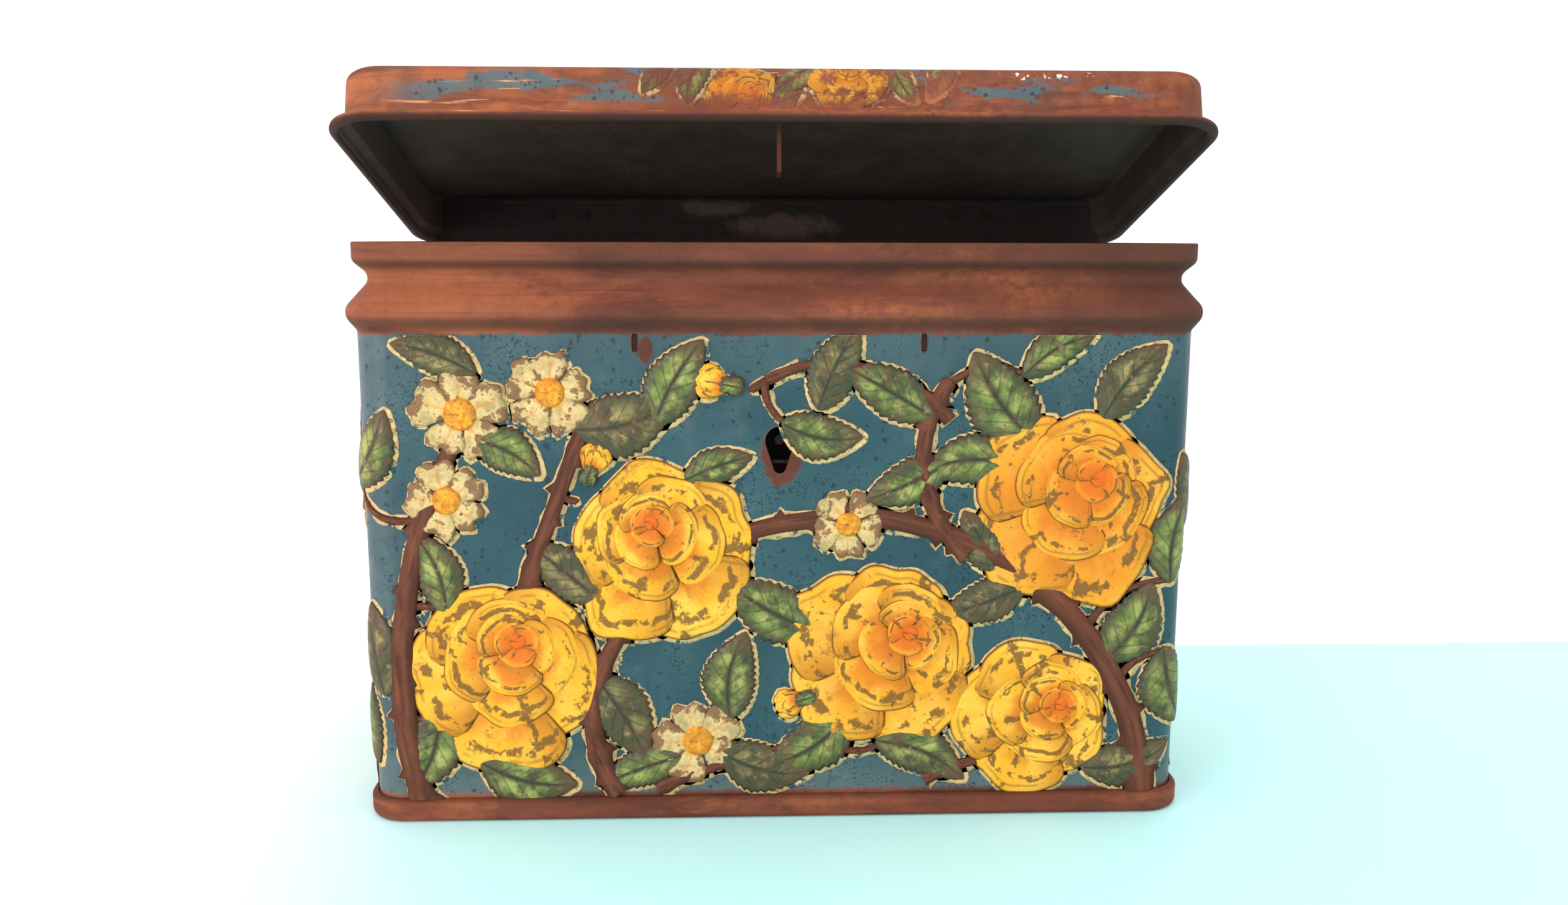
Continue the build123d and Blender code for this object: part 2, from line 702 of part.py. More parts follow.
def make_lock_bolt():
    """The sliding bolt, drawn back: a bar with a notch for the key, a neck and a nose."""
    depth = (bolt_front, bolt_front + bolt_thickness)
    neck_right = bolt_neck_left + bolt_neck_width
    nose_tip = -staple_sheet / 2 - bolt_nose_gap
    bolt = block((bolt_bar_left, bolt_bar_left + bolt_bar_length), depth, (bolt_bar_foot, bolt_bar_top))
    bolt = bolt + block((bolt_neck_left, neck_right), depth, (bolt_bar_top - 1, bolt_top))
    bolt = bolt + block((neck_right - 1, nose_tip), depth, (bolt_top - bolt_nose_height, bolt_top))
    talon_middle = -bolt_throw / 2
    bolt = bolt - block(
        (talon_middle - talon_width / 2, talon_middle + talon_width / 2),
        (depth[0] - 1, depth[1] + 1),
        (bolt_bar_foot - 1, bolt_bar_foot + talon_height),
    )
    slot_radius = guide_pin_radius + pin_play
    slot_middle = (guide_pin_x - bolt_throw / 2, bolt_front - 1, guide_pin_height)
    slot = SlotCenterToCenter(bolt_throw, 2 * slot_radius)
    slot_plane = Plane(slot_middle, x_dir=(1, 0, 0), z_dir=(0, -1, 0))
    return bolt - extrude(slot_plane * slot, -bolt_thickness - 2)


def make_guide_pin():
    """A stud in the case's back that the bolt's slot runs on."""
    start = (guide_pin_x, bolt_front - guide_pin_front, guide_pin_height)
    return rod(start, (0, 1, 0), guide_pin_radius, case_back - lock_sheet - start[1])


def make_key_post():
    """The post that a pipe key turns on, from the case's back towards the keyhole."""
    start = (0, inner_front + key_post_tip, keyhole_height)
    return rod(start, (0, 1, 0), key_post_radius, case_back - lock_sheet - start[1])


def make_bolt_spring():
    """A bent leaf spring under the case's top that rides on the bolt's bar."""
    wall = case_width / 2 - lock_sheet - tight
    high = case_top - lock_sheet - spring_thickness / 2
    low = bolt_bar_top + spring_gap + spring_thickness / 2
    route = FilletPolyline(
        (wall, high),
        (wall - spring_foot, high),
        (spring_touch_x, low),
        (spring_touch_x - spring_lip, low + spring_lip / 2),
        radius=spring_round,
    )
    middle = bolt_front + bolt_thickness / 2
    plane = Plane((0, middle, 0), x_dir=(1, 0, 0), z_dir=(0, -1, 0))
    return extrude(plane * trace(route, spring_thickness), spring_width / 2, both=True)


# ---------------------------------------------------------------- staple, drawn shut
def make_staple():
    """A foot soldered inside the lid's front, its ledge, and an eyed tongue that drops into the mouth."""
    foot_face = -half_depth - lid_wall_out + sheet
    foot_low = body_height + tight
    foot_high = foot_low + staple_foot_height
    tongue_front = -half_depth + cove_inner + staple_front_gap
    tongue_back = tongue_front + staple_tongue_width
    eye_low = bolt_top - bolt_nose_height - staple_eye_play
    eye_high = bolt_top + staple_eye_play
    thin = (-staple_sheet / 2, staple_sheet / 2)
    foot = block(
        (-staple_foot_width / 2, staple_foot_width / 2),
        (foot_face, foot_face + staple_sheet),
        (foot_low, foot_high),
    )
    ledge = block(
        (-staple_foot_width / 2, staple_foot_width / 2),
        (foot_face, foot_face + staple_ledge),
        (foot_low, foot_low + staple_sheet),
    )
    arm = block(thin, (foot_face + staple_sheet / 2, tongue_back), (foot_low, foot_high))
    tongue = block(thin, (tongue_front, tongue_back), (eye_low - staple_web, foot_high))
    eye = block(
        (-staple_sheet, staple_sheet),
        (bolt_front - staple_eye_play, bolt_front + bolt_thickness + staple_eye_play),
        (eye_low, eye_high),
    )
    return foot + ledge + arm + tongue - eye


# ---------------------------------------------------------------- the whole box
def at_rest(piece):
    """Turns a piece of the shut lid to where it stands in the rest pose."""
    return piece.rotate(hinge_axis, lid_rest_angle)


def build():
    nodes = {
        "body_shell": make_body_shell(),
        "bottom_plate": make_bottom_plate(),
        "hinge_strap_rivets": make_strap_rivets(),
        "lock_plate": make_lock_plate(),
        "lock_case": make_lock_case(),
        "lock_rivets": make_lock_rivets(),
        "lock_bolt": make_lock_bolt(),
        "lock_guide_pin": make_guide_pin(),
        "lock_key_post": make_key_post(),
        "lock_bolt_spring": make_bolt_spring(),
        "lid_shell": at_rest(make_lid_shell()),
        "lid_rim_wire": at_rest(make_rim_wire()),
        "lid_leaf_rivets": at_rest(make_lid_rivets()),
        "lock_staple": at_rest(make_staple()),
    }
    for side, middle in hinge_middles.items():
        nodes[f"hinge_body_leaf_{side}"] = make_body_leaf(middle)
        nodes[f"hinge_lid_leaf_{side}"] = at_rest(make_lid_leaf(middle))
        nodes[f"hinge_pin_{side}"] = make_hinge_pin(middle)
    return nodes


os.makedirs("parts", exist_ok=True)
for name, shape in build().items():
    export_step(shape, f"parts/{name}.step")
    print(name, len(shape.solids()), "solid(s)", round(shape.volume), "mm3")
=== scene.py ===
import json
import math
import random

import bmesh
import bpy
from mathutils import Matrix, Vector, noise


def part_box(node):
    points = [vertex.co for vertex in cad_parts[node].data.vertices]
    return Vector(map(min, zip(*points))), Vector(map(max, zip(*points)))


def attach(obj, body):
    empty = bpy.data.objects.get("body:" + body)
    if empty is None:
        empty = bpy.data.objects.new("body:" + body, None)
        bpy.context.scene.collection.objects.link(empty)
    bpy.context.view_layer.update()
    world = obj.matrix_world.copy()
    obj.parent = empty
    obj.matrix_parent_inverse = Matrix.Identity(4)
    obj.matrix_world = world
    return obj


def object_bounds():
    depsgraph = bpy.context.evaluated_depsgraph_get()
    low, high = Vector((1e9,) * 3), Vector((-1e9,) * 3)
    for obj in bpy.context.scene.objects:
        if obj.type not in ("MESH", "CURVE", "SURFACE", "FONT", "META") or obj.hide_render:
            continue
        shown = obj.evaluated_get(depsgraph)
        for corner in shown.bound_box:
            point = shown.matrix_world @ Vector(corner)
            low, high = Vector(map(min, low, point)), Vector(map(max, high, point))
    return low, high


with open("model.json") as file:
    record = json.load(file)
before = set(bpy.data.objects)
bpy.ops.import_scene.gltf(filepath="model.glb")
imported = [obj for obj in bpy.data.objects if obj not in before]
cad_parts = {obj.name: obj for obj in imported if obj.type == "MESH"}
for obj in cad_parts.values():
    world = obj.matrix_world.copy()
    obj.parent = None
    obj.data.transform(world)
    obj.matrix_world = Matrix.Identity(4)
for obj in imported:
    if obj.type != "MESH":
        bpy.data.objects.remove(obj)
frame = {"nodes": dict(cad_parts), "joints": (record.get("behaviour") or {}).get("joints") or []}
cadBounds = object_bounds()
print("frame loaded:", len(frame["nodes"]), "nodes")

mm = 0.001

camera = {
    "place": (-8.9 * mm, -300.1 * mm, 120.5 * mm),
    "down": 9.25,  # degrees
    "right": 2.14,
    "roll": 0.13,
    "lens": 29.98,
    "sensor": 36.0,
}


def makeCamera():
    data = bpy.data.cameras.new("camera")
    data.lens = camera["lens"]
    data.sensor_width = camera["sensor"]
    data.clip_start = 0.01
    data.clip_end = 20
    holder = bpy.data.objects.new("camera", data)
    bpy.context.scene.collection.objects.link(holder)
    down, right = math.radians(camera["down"]), math.radians(camera["right"])
    ahead = Vector((math.sin(right) * math.cos(down), math.cos(right) * math.cos(down), -math.sin(down)))
    turn = ahead.to_track_quat("-Z", "Y").to_matrix().to_4x4()
    roll = Matrix.Rotation(math.radians(camera["roll"]), 4, "Z")
    holder.matrix_world = Matrix.Translation(camera["place"]) @ turn @ roll
    bpy.context.scene.camera = holder


class Output:
    # an output of a node, which adds, subtracts and multiplies with others and with numbers
    def __init__(self, socket):
        self.socket = socket

    def __add__(self, other):
        return worked("ADD", self, other)

    def __radd__(self, other):
        return worked("ADD", other, self)

    def __sub__(self, other):
        return worked("SUBTRACT", self, other)

    def __rsub__(self, other):
        return worked("SUBTRACT", other, self)

    def __mul__(self, other):
        return worked("MULTIPLY", self, other)


current = {"tree": None}  # the nodes of the finish that is being made


def feed(node, values):
    # sets a node's inputs to numbers, colours or outputs
    for name, value in values.items():
        socket = node.inputs[name]
        if isinstance(value, Output):
            current["tree"].links.new(value.socket, socket)
        elif isinstance(value, tuple) and socket.type == "RGBA":
            socket.default_value = (*value, 1.0)
        else:
            socket.default_value = value


def addNode(kind, values, **settings):
    # adds a node and returns its outputs
    node = current["tree"].nodes.new("ShaderNode" + kind)
    for name, setting in settings.items():
        setattr(node, name, setting)
    feed(node, values)
    return [Output(socket) for socket in node.outputs]


def worked(operation, first, second=0.0, third=0.0):
    return addNode("Math", {0: first, 1: second, 2: third}, operation=operation)[0]


def most(*shares):
    result = shares[0]
    for share in shares[1:]:
        result = worked("MAXIMUM", result, share)
    return result


def far(value, middle=0.0):
    # how far a value lies from the middle, either way
    return worked("ABSOLUTE", value - middle)


def mixed(share, first, second):
    return addNode("Mix", {0: share, 6: first, 7: second}, data_type="RGBA")[2]


def layered(colour, paints, layers):
    # each layer's paint covers the colour by the layer's share
    for share, paint in layers:
        colour = mixed(share, colour, paints[paint])
    return colour


def between(value, low, high):
    # 0 at low and 1 at high, eased; low may be the larger
    values = {"Value": value, "From Min": low, "From Max": high}
    return addNode("MapRange", values, interpolation_type="SMOOTHSTEP")[0]


def ranged(share, low, high):
    # low where the share is 0 and high where it is 1
    return addNode("MapRange", {"Value": share, "To Min": low, "To Max": high})[0]


def cloud(point, size, detail=4.0, roughness=0.55, stretch=None, bend=0.0):
    # a cloudy pattern, about size millimetres from spot to spot
    if stretch:
        point = addNode("Mapping", {"Vector": point, "Scale": stretch})[0]
    values = {"Vector": point, "Scale": 1 / size, "Detail": detail, "Roughness": roughness}
    return addNode("TexNoise", {**values, "Distortion": bend})[0]


def specks(point, size, spread):
    # small ragged specks, one to a cell, with spread from 0 to 1 for how much of its cell each fills
    ragged = addNode("TexNoise", {"Vector": point, "Scale": 2.2 / size, "Detail": 3.0})[1]
    values = {0: ragged, 1: (size * 0.9,) * 3, 2: point}
    point = addNode("VectorMath", values, operation="MULTIPLY_ADD")[0]
    distance, choice = addNode("TexVoronoi", {"Vector": point, "Scale": 1 / size}, feature="F1")[:2]
    reach = addNode("SeparateColor", {"Color": choice})[0] * spread
    return between(reach - distance, 0.0, 0.12)


def startFinish(name, roughness, shine):
    # the nodes that are added next belong to this finish
    finish = bpy.data.materials.new(name)
    finish.use_nodes = True
    current["tree"] = finish.node_tree
    shader = finish.node_tree.nodes["Principled BSDF"]
    feed(shader, {"Roughness": roughness, "Specular IOR Level": shine})
    return finish, shader


def roughen(shader, height, depth, strength, under=None):
    # a bump, whose depth is in millimetres, over the one under it
    values = {"Height": height, "Distance": depth * mm, "Strength": strength}
    if under:
        values["Normal"] = under
    normal = addNode("Bump", values)[0]
    feed(shader, {"Normal": normal})
    return normal


def bodyPoint():
    # the place on the box in millimetres
    place = current["tree"].nodes.new("ShaderNodeTexCoord").outputs["Object"]
    return addNode("VectorMath", {0: Output(place), "Scale": 1 / mm}, operation="SCALE")[0]


def shutPoint():
    # the place on the lid in millimetres, turned back to where it is when the lid is shut
    centre = hinge["place"] / mm
    centred = addNode("VectorMath", {0: bodyPoint(), 1: -centre})[0]
    values = {"Vector": centred, "Rotation": (hinge["open"], 0, 0), "Location": centre}
    return addNode("Mapping", values)[0]


def splitPoint(point):
    return addNode("SeparateXYZ", {0: point})


def readMeasures():
    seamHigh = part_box("bottom_plate")[1]
    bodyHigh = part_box("body_shell")[1]
    seamOut = 1.55 * mm
    return {
        "halfWidth": seamHigh.x - seamOut,
        "halfDepth": seamHigh.y - seamOut,
        "corner": 7 * mm,
        "mouth": bodyHigh.z,
        "panelFoot": seamHigh.z,
        "panelTop": bodyHigh.z - 18 * mm,
        "lidTop": bodyHigh.z + 10.2 * mm,
        "lidOut": 1.5 * mm,
        "foldRound": 1.9 * mm,
        "flareTop": bodyHigh.z + 1.6 * mm,
        "rollLevel": bodyHigh.z - 1.2 * mm,
    }


def readHinge():
    joint = next(joint for joint in frame["joints"] if joint["name"] == "lid_hinge")
    return {"place": Vector(joint["pos_m"]), "open": math.radians(-joint["range_deg"][0])}


size = readMeasures()
hinge = readHinge()
flatWidth = 2 * (size["halfWidth"] - size["corner"])
flatDepth = 2 * (size["halfDepth"] - size["corner"])
cornerRun = size["corner"] * math.pi / 2
lap = 2 * (flatWidth + flatDepth) + 4 * cornerRun

rustColours = {
    "dark": (0.074, 0.024, 0.014),
    "brown": (0.184, 0.05, 0.028),
    "orange": (0.4, 0.116, 0.045),
    "bright": (0.58, 0.18, 0.062),
}


def rust(point, glow=0.0):
    # colour and grain of old rust, with more orange as glow rises from 0
    broad = cloud(point, 26, 5, 0.6, stretch=(0.45, 1, 1.7))
    fine = cloud(point, 2.4, 7, 0.7)
    streaks = cloud(point, 5.0, 4, 0.6, stretch=(0.12, 0.12, 2.2))
    colour = mixed(between(broad, 0.3 - glow, 0.6 - glow), rustColours["dark"], rustColours["brown"])
    glowing = between(broad, 0.52 - glow, 0.76 - glow) * between(fine, 0.32, 0.6)
    colour = layered(colour, rustColours, [
        (glowing, "orange"),
        (between(streaks, 0.56, 0.74) * 0.45, "dark"),
        (between(fine, 0.58, 0.78) * 0.4, "orange"),
        (between(fine, 0.42, 0.26) * 0.55, "dark"),
    ])
    return colour, fine


def outFromWall(x, y):
    # how far outside the wall's outer face a point lies, in millimetres
    across = most(far(x) - flatWidth / 2 / mm, 0.0)
    along = most(far(y) - flatDepth / 2 / mm, 0.0)
    reach = worked("SQRT", across * across + along * along)
    return reach - size["corner"] / mm


def squaredReach(x, z, middle, reach):
    # 0 in the middle of an oval and 1 on its edge, by the square of the distance
    stepX = (x - middle[0]) * (1 / reach[0])
    stepZ = (z - middle[1]) * (1 / reach[1])
    return stepX * stepX + stepZ * stepZ


def roundedLine(corners, rounds, arcSteps=5):
    # the (out, up) points of a line whose inner corners are rounded
    line = [Vector(corners[0])]
    for index, radius in enumerate(rounds):
        before, corner, after = (Vector(corners[index + step]) for step in range(3))
        into = (corner - before).normalized()
        onward = (after - corner).normalized()
        turn = into.angle(onward)
        start = corner - into * radius * math.tan(turn / 2)
        aside = (onward - into * into.dot(onward)).normalized()
        for step in range(arcSteps + 1):
            angle = turn * step / arcSteps
            line.append(start + into * radius * math.sin(angle) + aside * radius * (1 - math.cos(angle)))
    return line


def behindSheet(out, z, line):
    # 1 on the inner side of a sheet, whose middle line climbs through the (out, up) points
    middle = line[0][0]
    for (outLow, low), (outHigh, high) in zip(line, line[1:]):
        if high - low > 0.001:
            values = {"Value": z, "From Min": low, "From Max": high, "To Min": 0, "To Max": outHigh - outLow}
            middle = addNode("MapRange", values)[0] + middle
    return between(out - middle, 0.06, -0.06)


printColours = {
    "blue": (0.035, 0.088, 0.104),
    "deepBlue": (0.019, 0.057, 0.072),
    "greyBlue": (0.096, 0.13, 0.134),
    "speck": (0.018, 0.024, 0.026),
    "chip": (0.75, 0.7, 0.66),
    "crease": (0.052, 0.022, 0.016),
    "inner": (0.03, 0.02, 0.016),
}


def lockMarks():
    # middles and half sizes, in millimetres, of the rust round the keyhole and the slots
    mouth = size["mouth"] / mm
    lowSlots, highSlots, apart = mouth - 42.6, mouth - 19.8, 29.0
    marks = [((0.2, lowSlots), (4.3, 6.2)), ((-26.9, mouth - 21.2), (1.7, 2.8))]
    for side in (-1, 1):
        marks += [((side * apart, lowSlots), (1.1, 2.5)), ((side * apart, highSlots), (0.9, 2.2))]
    return marks


def printedTinFinish():
    # blue print on the walls, rust on the moulding and round the lock
    finish, shader = startFinish("printedTin", 0.45, 0.2)
    point = bodyPoint()
    x, y, z = splitPoint(point)
    out = outFromWall(x, y)
    foot, top, mouth = size["panelFoot"] / mm, size["panelTop"] / mm, size["mouth"] / mm
    rustColour, rustGrain = rust(point)
    # painted shade: the rust grows darker towards the right; painted light: brighter orange towards the left
    # front
    rightShade = between(x + (cloud(point, 20) - 0.5) * 60.0, 0, 85)
    patches = cloud(point, 13, 5, 0.65, stretch=(0.5, 0.5, 1.3), bend=0.4)
    leftLight = between(x, 0, -75) * between(y, 0, -20) * between(patches, 0.62, 0.38)
    broad = cloud(point, 34, 3, 0.5)
    mottle = cloud(point, 7, 5, 0.6)
    fine = cloud(point, 1.3, 5, 0.65)

    blue = mixed(between(broad, 0.35, 0.68), printColours["deepBlue"], printColours["blue"])
    upper = between(z + mottle * 22.0, top - 14, top + 20)
    lower = between(z - mottle * 16.0, foot + 6, foot - 10)
    # paler grey-blue towards the left end
    leftPaler = between(x + mottle * 26.0, -58, -76)
    smudges = cloud(point, 3.4, 5, 0.7, stretch=(1, 1, 0.55), bend=0.5)
    dotty = between(cloud(point, 17, 3), 0.44, 0.62)
    dots = specks(point, 0.55, dotty * 0.55)
    pits = specks(point, 1.7, 0.36)
    blue = layered(blue, printColours, [
        (upper * 0.38, "greyBlue"),
        (lower * 0.85, "greyBlue"),
        (leftPaler * 0.8, "greyBlue"),
        (between(mottle, 0.52, 0.75) * 0.25, "greyBlue"),
        (between(smudges, 0.56, 0.72) * 0.55, "deepBlue"),
        (between(fine, 0.56, 0.72) * 0.45, "speck"),
        (most(dots, pits) * 0.75, "speck"),
    ])

    edge = cloud(point, 3.2, 5, 0.7) * 2.4
    high = between(z + edge, top + 0.6, top + 1.5)
    low = between(z - edge, foot + 0.4, foot - 1.1)
    wall, crown, cove, band = -0.2, 2.75, -3.6, 0.3
    corners = [(wall, top), (wall, top + 0.4), (crown, mouth - 13.9), (cove, mouth - 7.0)]
    corners += [(band, mouth - 3.7), (band, mouth)]
    inside = behindSheet(out, z, roundedLine(corners, (1.2, 2.6, 2.2, 1.5)))
    bare = most(high, low, inside)
    marks = 0.0
    for middle, reach in lockMarks():
        away = worked("SQRT", squaredReach(x, z, middle, reach)) + cloud(point, 3.5, 5, 0.7) * 0.9
        marks = most(marks, between(away, 1.55, 1.25) * between(y, 0, -1))
    rustColour = layered(rustColour, rustColours, [
        (rightShade * 0.74, "dark"),
        (leftLight * 0.5, "orange"),
        (between(patches, 0.5, 0.66) * 0.55, "dark"),
        (between(patches, 0.42, 0.3) * 0.14, "orange"),
        # painted shade on the band just below the mouth
        (between(z, mouth - 4.0, mouth - 2.6) * 0.4, "dark"),
        (marks * 0.55, "dark"),
    ])
    bare = most(bare, marks)
    colour = mixed(bare, blue, rustColour)

    # painted shade in the two creases of the moulding, under the band and under the crown, and fine dark
    # lines along it
    underBand = between(far(z, mouth - 4.3), 1.5, 0.3)
    underCrown = between(far(z, mouth - 15.9), 1.9, 0.4)
    lines = between(cloud(point, 1.1, 3, 0.6, stretch=(0.02, 0.02, 1.3)), 0.55, 0.7) * high * 0.3
    # painted shade inside the box, darker from the moulding down
    insideShade = inside * between(z, top + 17, top + 6)
    colour = layered(colour, printColours, [
        (most(underBand * 0.72, underCrown * 0.62, lines), "crease"),
        (insideShade * 0.8, "inner"),
    ])
    roughness = ranged(bare, 0.38, 0.72) + (mottle - 0.5) * 0.3
    feed(shader, {"Base Color": colour, "Roughness": roughness})
    grain = rustGrain * bare + fine * 0.25 - most(dots, pits) * 0.3
    normal = roughen(shader, mottle, 0.25, 0.5)
    roughen(shader, grain, 0.22, 0.8, normal)
    return finish


def seamFinish():
    finish, shader = startFinish("seamRust", 0.72, 0.15)
    place = bodyPoint()
    colour, grain = rust(place, 0.05)
    foot = size["panelFoot"] / mm
    patches = cloud(place, 12, 5, 0.65, stretch=(0.5, 0.5, 1.5), bend=0.4)
    line = between(splitPoint(place)[2], foot - 1.3, foot - 0.2)
    colour = layered(colour, rustColours, [
        (between(patches, 0.5, 0.64) * 0.5, "dark"),
        (between(patches, 0.42, 0.32) * 0.4, "orange"),
        (line * 0.6, "dark"),
    ])
    feed(shader, {"Base Color": colour})
    normal = roughen(shader, cloud(place, 6, 4), 0.3, 0.5)
    roughen(shader, grain, 0.25, 0.9, normal)
    return finish


lidColours = {
    "dim": (0.118, 0.077, 0.062),
    "dimmer": (0.08, 0.053, 0.044),
    "darkest": (0.012, 0.009, 0.008),
    "leftSide": (0.2, 0.125, 0.095),
    "bruise": (0.105, 0.048, 0.034),
    "green": (0.066, 0.071, 0.052),
    "smear": (0.11, 0.066, 0.062),
    "scratch": (0.78, 0.34, 0.15),
    "roll": (0.03, 0.014, 0.011),
    "blue": (0.06, 0.112, 0.13),
}


def spotShare(point, x, z, middle, reach):
    # 1 inside a ragged oval, 0 outside it
    return between(squaredReach(x, z, middle, reach) + cloud(point, 5.0, 5, 0.7) * 2.6, 2.4, 1.3)


def lidTinFinish():
    finish, shader = startFinish("lidTin", 0.6, 0.15)
    point = shutPoint()
    x, y, z = splitPoint(point)
    out = outFromWall(x, y)
    top, flare, roll = size["lidTop"] / mm, size["flareTop"] / mm, size["rollLevel"] / mm
    rustColour, rustGrain = rust(point, 0.1)
    mottle = cloud(point, 8, 5, 0.6)
    # painted light: brighter rust towards the left front; painted shade: darker towards the right
    leftLight = between(x + (mottle - 0.5) * 70.0, 10, -70) * between(y, 0, -20) * between(mottle, 0.3, 0.55)
    bands = cloud(point, 7, 5, 0.65, stretch=(0.22, 0.4, 1.7), bend=0.7)
    rustColour = layered(rustColour, rustColours, [
        (leftLight * 0.34, "bright"),
        (between(x, 30, 85) * 0.3, "dark"),
        (between(bands, 0.5, 0.64) * 0.7, "brown"),
        (between(bands, 0.6, 0.72) * 0.6, "dark"),
    ])
    bruises = cloud(point, 12, 5, 0.65, stretch=(0.6, 0.6, 1.2), bend=0.5)
    rustColour = mixed(between(bruises, 0.5, 0.62) * 0.5, rustColour, lidColours["bruise"])
    fine = cloud(point, 1.3, 5, 0.65)
    ends = between(far(x), 82, 66)

    # what is left of the blue print on the skirt and the top
    blue = mixed(between(mottle, 0.35, 0.7), lidColours["blue"], printColours["greyBlue"])
    blue = mixed(specks(point, 1.15, 0.5) * 0.8, blue, printColours["speck"])
    streak = cloud(point, 9, 5, 0.6, stretch=(0.42, 0.42, 1.9))
    fewer = between(x, -35, 20) * 0.04
    patchy = streak - fewer + between(far(x), 24, 44) * 0.03
    patchy = between(patchy + (fine - 0.5) * 0.1, 0.525, 0.585)
    skirtBlue = patchy * ends * between(z, top - 8.4, top - 7.0) * 0.85
    rim = between(out, -4.5, -1.0)
    onTop = between(z, top - 0.25, top - 0.05)
    worn = between(cloud(point, 21, 5, 0.6), 0.44, 0.52)
    topBlue = onTop * worn * (1.0 - rim * 0.85)
    painted = most(skirtBlue * (1.0 - onTop), topBlue)
    colour = mixed(painted, rustColour, blue)
    scratch = cloud(point, 5, 4, 0.6, stretch=(0.16, 0.16, 2.6), bend=0.6)
    scratches = between(scratch, 0.64, 0.69) * between(out, 1.0, 1.3) * ends
    colour = mixed(scratches * 0.8, colour, lidColours["scratch"])
    chipped = between(far(x, 53), 10, 8) * between(far(z, top - 1.9), 1.0, 0.6)
    chips = specks(point, 1.45, 0.5) * chipped * between(y, 0, -1)
    colour = mixed(chips, colour, printColours["chip"])
    # painted shade under the roll, and the ends of the roll made darker
    sides = between(far(x), 84.5, 86.5) * between(z, flare + 0.2, flare - 1.2) * 0.85
    under = between(z, roll + 0.9, roll - 0.5) * 0.94
    colour = mixed(most(under, sides), colour, lidColours["roll"])

    # the dark inside, with the smear over the hinges
    lip, wall, ceilingEdge = 2.4, 1.3, -1.4
    corners = [(lip, roll), (lip, flare - 1.7), (wall, flare), (wall, top - 0.2), (ceilingEdge, top - 0.2)]
    inside = behindSheet(out, z, roundedLine(corners, (0.8, 0.8, 1.7))) * between(z, top - 0.15, top - 0.25)
    plate = inside * between(z, top - 1.4, top - 0.8)
    dim = mixed(between(mottle, 0.35, 0.7), lidColours["dimmer"], lidColours["dim"])
    # painted shade: darker towards the back of the inside and on the right inner skirt
    rear = most(between(y, 14, 38) * 0.68, between(y, 37.4, 38.6) * 0.93)
    rightSide = between(x, 78, 81) * (1.0 - plate) * 0.55
    # painted light on the left inner skirt, away from the back
    leftSide = between(x, -78, -81) * (1.0 - plate) * between(y, 38, 32) * 0.6
    green = plate * between(far(x), 45, 84) * between(y, 34, -30)
    upper = spotShare(point, x, z, (-14.0, top - 2.8), (11.0, 2.6))
    lower = spotShare(point, x, z, (4.0, top - 7.4), (17.0, 3.8))
    wisps = cloud(point, 7, 5, 0.65, stretch=(0.35, 1, 1.3), bend=0.3)
    smear = most(upper, lower) * between(y, 30, 34) * between(wisps, 0.26, 0.46)
    dim = layered(dim, lidColours, [
        (most(rear, rightSide), "darkest"),
        (leftSide, "leftSide"),
        (green * between(mottle, 0.25, 0.6) * 0.9, "green"),
        (smear * 0.62, "smear"),
    ])
    colour = mixed(inside, colour, dim)
    feed(shader, {"Base Color": colour, "Roughness": ranged(painted, 0.7, 0.45)})
    normal = roughen(shader, mottle, 0.5, 0.6)
    grain = rustGrain * (1.0 - painted) + fine * 0.2
    roughen(shader, grain, 0.22, 0.8, normal)
    return finish


ironColours = {
    "hinge": (0.12, 0.095, 0.075),
    "lock": (0.15, 0.12, 0.1),
    "dark": (0.1, 0.08, 0.07),
    "darkening": (0.01, 0.007, 0.006),
    "innerShade": (0.012, 0.008, 0.007),
}


def ironFinish(name, point, steel, darkening=0.0, darkInside=False):
    # worn steel under rust, with a share from 0 to 1 for how much darker it is painted: painted shade on the
    # lock's parts inside the box and on the rivets inside the lid, and a darker tone on the staple
    finish, shader = startFinish(name, 0.5, 0.15)
    place = point()
    # painted shade on the rivet heads inside the lid
    if darkInside:
        wall = (size["halfDepth"] + size["lidOut"]) / mm
        darkening = between(splitPoint(place)[1], wall + 0.2, wall - 0.2) * 0.98
    spots = cloud(place, 3.2, 6, 0.65)
    fine = cloud(place, 0.7, 5, 0.6)
    rusted, grain = rust(place)
    bare = between(spots, 0.52, 0.66)
    steel = ironColours[steel]
    bright = mixed(fine, tuple(v * 0.45 for v in steel), steel)
    colour = mixed(bare, rusted, bright)
    colour = mixed(darkening, colour, ironColours["innerShade" if darkInside else "darkening"])
    metal = bare * (0.75 - darkening * 0.75)
    feed(shader, {"Base Color": colour, "Metallic": metal, "Roughness": ranged(bare, 0.78, 0.42)})
    roughen(shader, grain + fine * 0.3, 0.12, 0.8)
    return finish


# finishes of the raised flower work, which read each piece's own attributes

def readSpan():
    # tone, ring and warmth of the piece, and the place along and across it
    tint, span = (addNode("Attribute", {}, attribute_name=name)[0] for name in ("tint", "span"))
    tone, ring, warmth = addNode("SeparateColor", {0: tint})
    along, over = addNode("SeparateColor", {0: span})[:2]
    across = worked("MULTIPLY_ADD", over, 2.0, -1.0)
    return tone, ring, warmth, along, across


def strokes(span, lengthwise, sideways, low, high):
    # brush strokes that follow the piece, different on each one
    tone, *others, along, across = span
    place = addNode("CombineXYZ", {0: along * lengthwise, 1: across * sideways, 2: tone * 37.0})[0]
    return between(cloud(place, 1.0, 4, 0.6), low, high)


